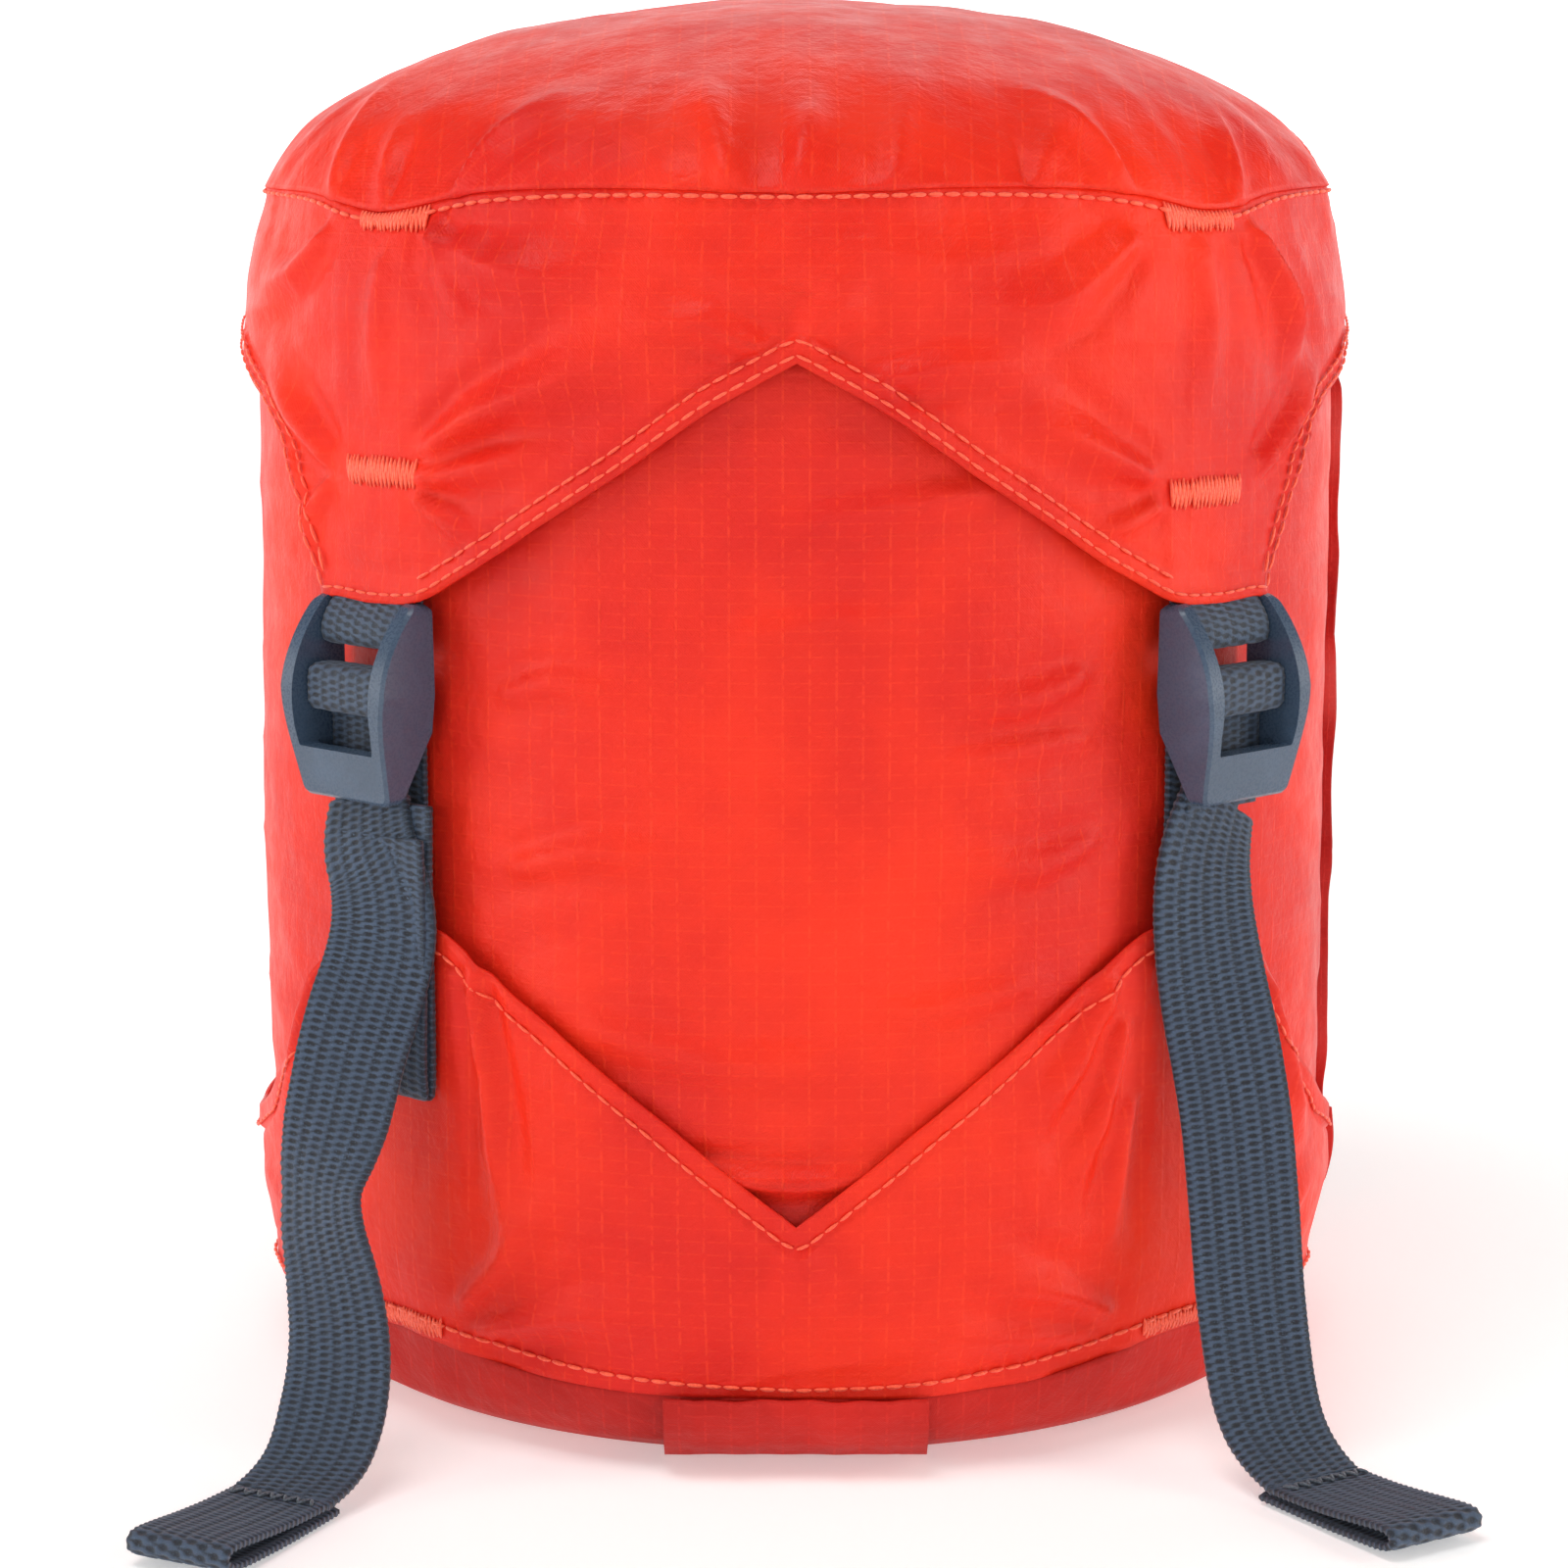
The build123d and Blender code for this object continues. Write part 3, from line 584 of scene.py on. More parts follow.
# The crown's outline, as (radius, height) in mm.
DOME = [(0, 222.0), (14, 221.8), (27, 221.0), (38, 219.3), (48, 216.8), (58, 213.5), (66, 210.2), (73, 206.6),
        (79, 202.6), (83, 199.0), (85.6, 195.6), (86.9, 192.9)]


# Folds of the crown: degrees at both ends, mm along its outline at both ends, depth, width and end width.
CROWN_FOLDS = (
    (-6, -12, 96, 66, 2.2, 1.6, 4.0), (-1, 3, 97, 74, 1.9, 1.5, 3.4), (8, 16, 97, 62, 1.6, 1.6, 4.2),
    (-36, -26, 97, 70, 2.4, 1.8, 5.0), (-44, -50, 97, 76, 1.8, 1.6, 4.0), (-52, -66, 97, 60, 1.6, 1.8, 5.0),
    (34, 26, 97, 68, 2.2, 1.7, 4.6), (48, 58, 97, 72, 1.8, 1.7, 4.4), (22, 30, 97, 80, 1.3, 1.4, 3.0),
    (130, 122, 97, 70, 2.0, 1.7, 4.5), (142, 152, 97, 74, 1.6, 1.6, 4.0), (-128, -120, 97, 70, 2.0, 1.7, 4.5),
    (-146, -156, 97, 72, 1.6, 1.6, 4.0), (180, 172, 97, 66, 1.4, 1.6, 4.0), (88, 96, 97, 74, 1.2, 1.6, 3.6),
    (-92, -100, 97, 74, 1.2, 1.6, 3.6),
)


def lid_crown():
    """The lid's round top: a crown that puckers where it is gathered into the seam."""
    cols, rows = 640, 84
    angle = round_angles(cols)
    t = (np.linspace(0.012, 1, rows) ** 0.8)[:, None]
    rs, zs = (np.array(c, float) for c in zip(*DOME))
    along = travelled(rs, zs)
    fine = np.linspace(0, along[-1], 400)

    def soft(c):
        padded = np.pad(np.interp(fine, along, c), 12, mode="reflect", reflect_type="odd")
        return np.convolve(padded, np.ones(25) / 25, "valid")

    r = np.interp(t * along[-1], fine, soft(rs)) + 0 * angle
    z = np.interp(t * along[-1], fine, soft(zs)) + (lid_seam_z(angle) - 192.9) * smooth(t, 0.8, 1.0)
    edge = smooth(t, 0.62, 0.97)
    pucker = ring_noise(angle, t, 64, 51) + 0.7 * noise(angle / 360, t * 0.8, 120, 3, 52)
    out = 1.15 * pucker * edge * (1 - 0.4 * smooth(t, 0.97, 1.0))
    side, front = (r * wave(np.radians(angle)) / 300 + 0.5 for wave in (np.sin, np.cos))
    lump = 1.1 * noise(side, front, 12, 12, 53)
    small = 0.35 * noise(side, front, 46, 46, 54)
    out = out + (lump + small) * (1 - 0.6 * edge)
    s = along[-1] * t
    for a0, a1, start, end, depth, width, wide in CROWN_FOLDS:
        q = np.clip((start - s) / (start - end), 0, 1)
        off = np.radians(turn(angle - (a0 + (a1 - a0) * q))) * np.maximum(r, 10)
        w = width + (wide - width) * q
        fade = smooth(q, -0.01, 0.1) * (1 - smooth(q, 0.4, 1.0)) * (s <= start + 4) * (s >= end - 2)
        out = out + depth * fade * np.exp(-np.abs(off / w) ** 1.4)
    slope_r, slope_z = np.gradient(r, axis=0), np.gradient(z, axis=0)
    length = np.hypot(slope_r, slope_z)
    r2, z2 = r - out * slope_z / length, z + out * slope_r / length
    seam = lid_seam_z(angle)
    rim_r = lid_radius(angle, 1.0 + 0 * angle, seam, seam - cut_line(LID_EDGE, angle))
    join = smooth(t, 0.84, 1.0)
    r2, z2 = r2 + (rim_r - r2[-1:] - 0.1) * join, z2 + (seam - z2[-1:] - 0.2) * join
    z2 = np.minimum(z2, 222.9)
    points = polar(angle, r2, z2)
    planar = planar_uv(angle, r)
    obj = thicken(grid_object("lid_crown", points, planar, middle=points[0].mean(0)), 0.6)
    return finish_piece(obj, CLOTH, "lid", "shell_cloth", "lid_top")


# Folds: points as (degrees, height), depth, width and end width, in mm.
SKIRT_FOLDS = (
    ([(-33, 78), (-31, 60), (-30, 42), (-30, 30)], 1.7, 1.3, 2.4),
    ([(-36, 22), (-30, 32), (-24, 46)], 1.3, 1.4, 3.4),
    ([(-35, 19), (-24, 24), (-12, 27)], 1.2, 1.5, 3.6),
    ([(33, 76), (28, 62), (20, 50)], 1.5, 1.5, 3.4),
    ([(34, 70), (31, 54), (27, 40)], 1.6, 1.5, 3.0),
    ([(35, 58), (33, 44), (32, 30)], 1.3, 1.3, 2.4),
    ([(34, 22), (26, 28), (16, 32)], 1.4, 1.5, 3.8),
    ([(33, 20), (20, 21), (8, 24)], 1.0, 1.5, 3.4),
    ([(0, 38), (1, 31), (0, 24)], 0.9, 2.0, 4.0),
    ([(-55, 74), (-62, 56), (-70, 40)], 1.2, 1.5, 3.4),
    ([(55, 72), (62, 52), (68, 34)], 1.4, 1.5, 3.4),
    ([(52, 20), (62, 30), (74, 36)], 1.0, 1.5, 3.0),
)


def skirt_radius(angle, v, z, height):
    strap = near_strap(angle)
    up_left = height * (1 - v)  # mm below the cut edge
    r = SKIRT_R + 0.5 * smooth(strap, 8, 26) - 2.6 * smooth(34 - z, 0, 20) ** 1.5
    hem = smooth(4.0 - up_left, 0, 0.8)
    r = r + 0.2 * hem - 0.3 * bump(up_left, 4.3, 0.7) + 0.4 * ring_noise(angle, v, 90, 67) * hem
    loose = smooth(strap, 5, 14)
    r = r + 0.75 * wrinkles(angle, z, 60, 0.3, 0.8) * loose
    pucker = ring_noise(angle, v, 70, 65) + 0.6 * ring_noise(angle, v, 140, 66)
    r = r + 0.7 * pucker * smooth(34 - z, 0, 20)
    r = folded(r, angle, z, SKIRT_FOLDS, both=True, radius=86)
    return np.maximum(r, 88.9 - 2.6 * smooth(34 - z, 0, 20) ** 1.5)


def skirt_surface(angle, v):
    low, high = base_seam_z(angle), cut_line(SKIRT_EDGE, angle)
    z = low + (high - low) * v
    return polar(angle, skirt_radius(angle, v, z, high - low), z)


def skirt():
    cols = 700
    angle = round_angles(cols)
    v = (1 - (1 - np.linspace(0, 1, 62)) ** 0.9)[:, None]
    points = skirt_surface(angle, v)
    uv = grid_uv(angle / 360 * 2 * pi * 89 * MM, points[..., 2])
    obj = thicken(grid_object("skirt", points, uv), 0.6)
    return finish_piece(obj, CLOTH, "sack", "shell_cloth", "base_skirt")


def base():
    """The round base, turned up at its edge and gathered into the seam."""
    cols = 480
    angle = round_angles(cols)
    profile = [(0.6, 1.1), (40, 1.1), (66, 1.05), (74, 1.2), (78.2, 2.2), (81.6, 4.2), (84.0, 7.2),
               (85.6, 10.4), (86.6, 13.2)]
    rs, zs = (np.array(c, float) for c in zip(*profile))
    along = travelled(rs, zs)
    t = np.linspace(0, along[-1], 90)[:, None]
    r, z = np.interp(t, along, rs) + 0 * angle, np.interp(t, along, zs) + 0 * angle
    edge = smooth(t, along[-1] - 16, along[-1] - 1)
    pucker = ring_noise(angle, t, 60, 71) + 0.6 * ring_noise(angle, t, 130, 72)
    r = r + 0.6 * pucker * edge - 0.25 * smooth(t, 60, 80)
    z = z + (base_seam_z(angle) - 13.2) * smooth(t, along[-1] - 12, along[-1])
    points = polar(angle, r, np.maximum(z, 1.0))
    planar = planar_uv(angle, r)
    obj = thicken(grid_object("base_cloth", points, planar, middle=points[0].mean(0)), 0.6, 0.0)
    return finish_piece(obj, LINING_AND_SHADE_CLOTH, "sack", "lining_cloth", "base_panel")


def grip():
    """The haul strip across the base, its long edges folded in, caught in the seam at both ends."""
    ys = [0, 40, 66, 75, 80.6, 84.4, 86.9, 88.4, 88.9]
    zs = [0.55, 0.55, 0.55, 0.75, 2.4, 5.2, 8.2, 11.0, 13.4]
    along = travelled(ys, zs)
    t = np.linspace(-along[-1], along[-1], 230)[:, None]
    x = np.linspace(-20, 20, 64)[None, :]
    edge = smooth(np.abs(x), 15.4, 16.2)
    wave = smooth(np.abs(t), 72, along[-1])
    puff = 0.8 * np.sin(x * 0.42 + np.sign(t)) ** 2 * (1 - edge)
    lift = 0.30 * edge + wave * (puff + 0.5 * noise((x + 20) / 41, (t + 130) / 260, 8, 30, 81))
    turned_up = smooth(np.abs(t), 74, 90)
    y = np.sign(t) * (np.interp(np.abs(t), along, ys) - 0.0016 * wave * x**2) + np.sign(t) * lift * turned_up
    z = np.interp(np.abs(t), along, zs) + 0 * x - lift * (1 - turned_up) * 0.3
    points = np.stack([x + 0 * t, y, np.maximum(z, 0.12)], -1) * MM
    uv = grid_uv(x * MM, t * MM)
    obj = thicken(grid_object("haul_strip", points, uv, closed=False), 0.45, 0.0)
    return finish_piece(obj, LINING_AND_SHADE_CLOTH, "sack", "lining_cloth", "base_grip")


def side_seam():
    """The tube's closing seam, a ruffled fin up the right side."""
    z = np.linspace(20, 165, 260)[:, None]
    out = np.linspace(0, 1, 8)[None, :]
    u = z / 230
    ruffle = 1.3 * noise(u, 0.5 + 0 * u, 30, 1, 91) + 0.7 * noise(u, 0.5 + 0 * u, 64, 1, 92)
    ends = smooth(z, 20, 26) * (1 - smooth(z, 160, 165))
    edge = cut_line(SKIRT_EDGE, 86.0 + 0 * z)
    foot = np.where(z < edge - 1, 89.3, 87.9) - 2.6 * smooth(34 - z, 0, 20)
    high = (2.2 + 0.5 * noise(u, 0.5 + 0 * u, 40, 1, 93)) * ends + 0.05
    angle = 86.0 + (ruffle * out**1.4) * 0.75 + 0 * z
    points = polar(angle, foot + high * out, z + 0 * out)
    uv = grid_uv(out * 0.004, z * MM)
    obj = thicken(grid_object("side_seam_fin", points, uv, closed=False), 0.9, 0.0)
    # Painted shade: the fin is shell cloth but takes the darker cloth of the base, for the shade on it.
    return finish_piece(obj, LINING_AND_SHADE_CLOTH, "sack", "shell_cloth", "side_seam")


# ---- stitching
def rods(name, ends, radius, sides=6):
    """Short rods of thread in one mesh: ends holds rows of start, finish and outward way."""
    p, q, up = (np.concatenate([part[k] for part in ends]) for k in range(3))
    d = q - p
    side = np.cross(d, up)
    side /= np.maximum(np.linalg.norm(side, axis=1), 1e-12)[:, None]
    up = np.cross(side, d)
    up /= np.maximum(np.linalg.norm(up, axis=1), 1e-12)[:, None]
    rings = ((0.0, 0.35), (0.18, 0.85), (0.5, 1.0), (0.82, 0.85), (1.0, 0.35))
    around = 2 * pi * np.arange(sides) / sides
    spokes = side[:, None] * np.cos(around)[:, None] + up[:, None] * np.sin(around)[:, None]
    centres = [(p + d * t + up * radius * 2 * t * (1 - t))[:, None] for t, _ in rings]
    verts = np.stack([centre + spokes * radius * size for centre, (_, size) in zip(centres, rings)], 1)
    k = np.arange(sides)
    m = (k + 1) % sides
    walls = [np.stack([i * sides + k, i * sides + m, (i + 1) * sides + m, (i + 1) * sides + k], -1)
             for i in range(len(rings) - 1)]
    one = np.concatenate(walls).tolist() + [k[::-1].tolist(), (4 * sides + k).tolist()]
    faces = [[start + c for c in face] for start in range(0, len(p) * 5 * sides, 5 * sides) for face in one]
    return mesh_object(name, verts.reshape(-1, 3), faces)


def on_surface(surface, angle, v):
    """Points and outward normals of a surface, for arrays of angles and heights."""
    p = surface(angle, v)
    tangent = surface(angle + 0.2, v) - p
    out = np.stack([np.sin(np.radians(angle)), -np.cos(np.radians(angle)), 0 * angle], -1)
    share = (out * tangent).sum(-1, keepdims=True) / np.maximum((tangent**2).sum(-1, keepdims=True), 1e-15)
    out = out - tangent * share
    return p, out / np.linalg.norm(out, axis=-1, keepdims=True)


def stitch_line(surface, angle_of, v_of, length_mm, fill=0.86, proud=0.26):
    """Stitches along a line on a surface; angle_of and v_of give the line at shares of its length."""
    count = int(length_mm / STITCH_PITCH)
    start = np.arange(count) / count
    finish = start + fill / count
    p, n0 = on_surface(surface, angle_of(start), v_of(start))
    q, n1 = on_surface(surface, angle_of(finish), v_of(finish))
    return p + n0 * proud * MM, q + n1 * proud * MM, (n0 + n1) / 2


def edge_stitches(surface, table, seam_z, inset, from_low, tips=True):
    """Stitches that run inset mm from a cut edge, all round or, without tips, only between the points."""
    shares = np.linspace(0, 1, 721)
    heights = cut_line(table, -180 + 360 * shares)
    travel = travelled(shares * 2 * pi * 90, heights)

    def angle_of(t):
        return -180 + 360 * np.interp(t * travel[-1], travel, shares)

    def v_of(t):
        a = angle_of(t)
        slope = (cut_line(table, a + 0.5) - cut_line(table, a - 0.5)) / (radians(1.0) * 90)
        down = inset * np.sqrt(1 + slope**2) / np.abs(seam_z(a) - cut_line(table, a))
        return down if from_low else 1 - down

    p, q, up = stitch_line(surface, angle_of, v_of, travel[-1])
    middle = (p + q) / 2
    away = near_strap(np.degrees(np.arctan2(middle[:, 0], -middle[:, 1]))) > 7.5
    kept = np.full(len(p), True) if tips else away
    return p[kept], q[kept], up[kept]


def tack(surface, seam_low, seam_high, angle, height, width, tall, count=36):
    """A bartack on a surface: dense, uneven zigzag thread across the webbing."""
    rng = np.random.default_rng(5)
    start_x = -width / 2 + width * np.arange(count) / count
    start_y = np.where(np.arange(count) % 2, -1, 1) * tall / 2 + rng.uniform(-0.4, 0.4, count)
    end_x = start_x + width / count
    end_y = -np.sign(start_y) * tall / 2 + rng.uniform(-0.4, 0.4, count)

    def at(x, y):
        a = angle + np.degrees(x / 90)
        low, high = seam_low(a), seam_high(a)
        return on_surface(surface, a, np.clip((height + y - low) / (high - low), 0.005, 0.995))

    (p, n0), (q, n1) = at(start_x, start_y), at(end_x, end_y)
    return p + n0 * 0.25 * MM, q + n1 * 0.25 * MM, n0


def stitching():
    """The seams' and hems' stitches, and the bartacks."""
    def lid_edge(a):
        return cut_line(LID_EDGE, a)

    def skirt_edge(a):
        return cut_line(SKIRT_EDGE, a)

    def all_round(t):
        return -180 + 360 * t

    seam = stitch_line(lid_surface, all_round, lambda t: 0.975 + 0 * t, 2 * pi * 88)
    finish_piece(rods("lid_seam_stitches", [seam], 0.34 * MM), THREAD, "lid", "thread", "lid_seam_binding")
    hems = [edge_stitches(lid_surface, LID_EDGE, lid_seam_z, inset, True, tips)
            for inset, tips in ((1.2, True), (3.3, False))]
    finish_piece(rods("lid_hem_stitches", hems, 0.25 * MM), THREAD, "lid", "thread")
    hem = edge_stitches(skirt_surface, SKIRT_EDGE, base_seam_z, 3.1, False)
    finish_piece(rods("skirt_hem_stitches", [hem], 0.26 * MM), THREAD, "sack", "thread")
    seam = stitch_line(skirt_surface, all_round, lambda t: 0.05 + 0 * t, 2 * pi * 86)
    finish_piece(rods("base_seam_stitches", [seam], 0.34 * MM), THREAD, "sack", "thread", "base_seam_binding")
    lid_tacks, base_tacks = [], []
    for angle in STRAPS.values():
        middle = angle + (-2.5 if angle > 0 else 2.0)
        for height in (189.0, 151.0 if angle < 0 else 148.0):
            lid_tacks.append(tack(lid_surface, lid_edge, lid_seam_z, middle, height, 15.0, 4.2))
        for height in (18.5, 77.0):
            base_tacks.append(tack(skirt_surface, base_seam_z, skirt_edge, middle, height, 14.5, 3.0))
    finish_piece(rods("lid_tacks", lid_tacks, 0.30 * MM), THREAD, "lid", "thread", "lid_bartacks")
    finish_piece(rods("base_tacks", base_tacks, 0.28 * MM), THREAD, "sack", "thread", "base_bartacks")


# ---- webbing
RIBS, RIB_LONG, WEB_W, WEB_T = 8, 1.15, 17.0, 1.3  # ribs across, length of one pick, width, thickness


def route_line(points, count):
    """Even points along the NURBS line that a route of control points makes, in metres."""
    curve = bpy.data.curves.new("route", "CURVE")
    curve.dimensions = "3D"
    spline = curve.splines.new("NURBS")
    spline.points.add(len(points) - 1)
    for p, c in zip(spline.points, points):
        p.co = (*c, 1)
    spline.order_u = 3
    spline.use_endpoint_u = True
    spline.resolution_u = 24
    holder = bpy.data.objects.new("route", curve)
    line = bpy.data.meshes.new_from_object(holder)
    raw = np.array([v.co for v in line.vertices])
    bpy.data.objects.remove(holder)
    bpy.data.curves.remove(curve)
    bpy.data.meshes.remove(line)
    travel = np.concatenate([[0], np.cumsum(np.linalg.norm(np.diff(raw, axis=0), axis=1))])
    even = np.linspace(0, travel[-1], count)
    return np.stack([np.interp(even, travel, raw[:, k]) for k in range(3)], -1), travel[-1]


def web_strip(name, route, across_start, across_end, relief=0.30, width=WEB_W, thickness=WEB_T, twist=None,
              step=0.23, seed=0):
    """A woven strap of crowned ribs along a route, with its middle line and its length."""
    _, length = route_line(route, 50)
    rows = max(8, int(length / MM / step))
    line, length = route_line(route, rows)
    tangent = np.gradient(line, axis=0)
    tangent /= np.linalg.norm(tangent, axis=1)[:, None]
    t = np.linspace(0, 1, rows)
    a0, a1 = np.array(across_start, float), np.array(across_end, float)
    if twist is None:
        across = a0 + (a1 - a0) * (t * t * (3 - 2 * t))[:, None]
    else:
        keys = np.array([k for k, _ in twist])
        values = np.array([v for _, v in twist], float)
        across = np.stack([np.interp(t, keys, values[:, k]) for k in range(3)], -1)
        kernel = np.ones(15) / 15
        padded = [np.pad(across[:, k], 7, mode="edge") for k in range(3)]
        across = np.stack([np.convolve(part, kernel, "valid") for part in padded], -1)
    across -= tangent * (across * tangent).sum(1)[:, None]
    across /= np.linalg.norm(across, axis=1)[:, None]
    face = np.cross(tangent, across)
    per_rib = 6
    n = RIBS * per_rib
    x = np.linspace(-1, 1, n + 1)
    y = t * length / MM
    rng = np.random.default_rng(seed)
    swings = max(3, int(y[-1] / 9))
    wander = np.interp(y, np.linspace(0, y[-1], swings), rng.uniform(-0.3, 0.3, swings))
    rib = np.clip(np.floor((x + 1) / 2 * RIBS), 0, RIBS - 1)
    across_rib = (x + 1) / 2 * RIBS - rib
    # Holes between the ribs, once in each pick, which the webbing's colour darkens as painted shade, and a
    # shallow groove across each rib between its yarns.
    gap = np.abs(np.cos(pi * across_rib)) ** 1.3
    shift = 0.35 * (np.round((x + 1) / 2 * RIBS) % 2)
    hole = gap[None, :] * (0.5 + 0.5 * np.cos(2 * pi * (y[:, None] / RIB_LONG + shift[None, :])))
    slant = 0.3 * across_rib[None, :] + 0.35 * (rib[None, :] % 2)
    groove = 0.5 + 0.5 * np.cos(2 * pi * (y[:, None] / RIB_LONG + slant))
    h = 1 - np.maximum(np.minimum(1.25 * hole, 1), 0.62 * groove**4)
    verts, values = [], []
    edge = 1 - 0.25 * np.abs(x) ** 8
    for sign in (1, -1):
        xs = x if sign > 0 else x[::-1]
        hs = h if sign > 0 else h[:, ::-1]
        es = edge if sign > 0 else edge[::-1]
        half = width / 2 * MM
        off = (thickness / 2 * es[None, :] * MM + (hs - 0.5) * relief * MM) * sign
        p = line[:, None, :] + across[:, None, :] * (xs[None, :, None] * half)
        p = p + face[:, None, :] * off[:, :, None]
        p = p + across[:, None, :] * (wander[:, None, None] * 0.5 * MM)
        verts.append(p)
        values.append(hs)
    points, relief_value = np.concatenate(verts, 1), np.concatenate(values, 1)
    cols = points.shape[1]
    u = np.tile(np.linspace(0, 2 * width * MM, cols), (rows, 1))
    uv = np.stack([u, np.tile((y * MM)[:, None], (1, cols))], -1)
    return grid_object(name, points, uv, values=relief_value, ends=True), line, length


def strap_point(angle, r, z, side=0.0):
    """A point of a strap: in its plane through the sack's axis, with a shift sideways, in metres."""
    a = radians(angle)
    return np.array([r * sin(a) + side * cos(a), -r * cos(a) + side * sin(a), z]) * MM


def strap_across(angle):
    """Which way a strap's width runs: round the sack."""
    a = radians(angle)
    return (cos(a), sin(a), 0.0)


# Routes in each strap's own plane, as (radius, height) in mm.
LOAD = [(84.9, 16.6), (86.4, 24), (87.7, 34), (87.85, 50), (87.85, 70), (87.85, 92), (87.85, 112.0)]
LOOP = [(87.75, 146), (87.85, 134.0), (88.4, 130.6), (89.05, 127.4), (89.05, 124.9), (91.2, 124.85),
        (93.35, 124.9), (93.35, 128), (91.0, 131.2), (89.4, 133), (89.3, 148)]
WRAP = [(87.85, 110.5), (87.9, 117.6), (89.6, 119.8), (91.6, 121.05), (94.4, 121.15), (96.3, 120.8),
        (96.35, 118), (96.3, 115.0), (94.0, 114.85), (91.6, 114.7), (91.6, 110), (91.6, 101.3)]
BIGHT = [(90.9, 101), (91.0, 94), (91.1, 84), (91.1, 72), (91.1, 60), (91.3, 56.2), (92.6, 56.2), (93.1, 60),
         (92.8, 72), (92.6, 84), (93.2, 96)]
# The wrap tilts with its buckle; the load strap and the tail don't. A short strip joins it to each.
LEAD = [(87.85, 108.6), (87.85, 109.8), (87.86, 110.8), (87.87, 111.8), (87.88, 113.0)]
ROOT = [(91.6, 104.0), (91.6, 102.7), (91.6, 101.4), (91.62, 100.2), (91.66, 99.6)]

# Tails, in mm: each one leaves behind its buckle's lip, hangs down and lies out on the floor.
TAILS = {
    "front_left": [(-64.8, -64.8, 101), (-65.6, -67.0, 96), (-62.6, -70.2, 88), (-62.6, -71.0, 79),
                   (-66.2, -73.6, 68), (-69.4, -77.4, 54), (-72.4, -80.6, 42), (-69.4, -83.6, 29),
                   (-68.4, -86.4, 17), (-70.4, -91.4, 7.4), (-73.2, -96.6, 3.6), (-75.8, -101.0, 2.7)],
    "front_right": [(64.8, -64.8, 101), (62.4, -67.6, 95), (61.6, -69.8, 85), (63.2, -71.4, 73),
                    (66.6, -73.6, 58), (68.0, -76.4, 42), (69.2, -79.6, 25), (70.6, -83.6, 12.5),
                    (74.0, -88.6, 4.6), (77.4, -93.6, 2.6)],
    "rear_left": [(-64.8, 64.8, 101), (-65.4, 66.8, 95), (-65.8, 67.8, 84), (-66.6, 69.0, 68),
                  (-68.4, 70.4, 48), (-70.4, 75.4, 26), (-74.0, 83.0, 10), (-78.6, 90.8, 3.4),
                  (-81.0, 95.0, 2.6)],
    "rear_right": [(64.8, 64.8, 101), (65.2, 67.0, 95), (66.0, 68.2, 84), (66.8, 69.6, 66),
                   (68.0, 71.4, 46), (69.6, 77.4, 24), (72.0, 85.0, 9), (75.4, 92.4, 3.2),
                   (77.0, 96.4, 2.6)],
}
HEM_L = 26.5  # mm of folded end on each tail, lying the way that HEM_WAY says
HEM_WAY = {"front_left": (-11.9, -24.8), "front_right": (13.2, -21.0),
           "rear_left": (-12.4, 23.0), "rear_right": (9.8, 24.4)}
# Which way each tail's width runs, at shares of its length.
TAIL_TWIST = {
    "front_left": [(0, (0.71, -0.71, 0)), (0.12, (0.9, -0.42, 0)), (0.3, (1, -0.05, 0)),
                   (0.45, (1, -0.3, 0)), (0.55, (0.72, -0.7, 0)), (0.68, (0.86, -0.5, 0)),
                   (0.85, (1, -0.3, 0)), (1, (0.9, -0.43, 0))],
    "front_right": [(0, (0.71, 0.71, 0)), (0.12, (0.88, 0.48, 0)), (0.35, (1, 0.05, 0)),
                    (0.6, (1, 0.12, 0)), (0.85, (0.96, 0.28, 0)), (1, (0.85, 0.53, 0))],
    "rear_left": [(0, (-0.71, -0.71, 0)), (0.3, (-0.82, -0.57, 0)), (1, (-0.88, -0.47, 0))],
    "rear_right": [(0, (-0.71, 0.71, 0)), (0.3, (-0.84, 0.55, 0)), (1, (-0.93, 0.37, 0))],
}


def hem_end(key, start, way):
    """A tail's end: folded under and stitched, its fold left open as a loop."""
    d = np.array([way[0], way[1], 0.0])
    d /= np.linalg.norm(d)
    s = np.array(start) / MM
    top, low = s[2], 0.9
    flat = [(-1.0, top), (6, top + 0.1), (14, top + 0.7), (21, top + 1.5), (HEM_L - 1.0, top + 1.9),
            (HEM_L + 0.4, top + 1.3), (HEM_L + 0.4, 2.4), (HEM_L - 1.4, 1.5), (20, 1.2), (12, 0.9),
            (4, low), (-2.5, low)]
    route = [(s[0] + d[0] * a, s[1] + d[1] * a, z) for a, z in flat]
    across = np.cross(d, (0, 0, 1.0))
    return web_strip(f"web_end_{key}", np.array(route) * MM, across, across, seed=7, thickness=1.1)[0], across


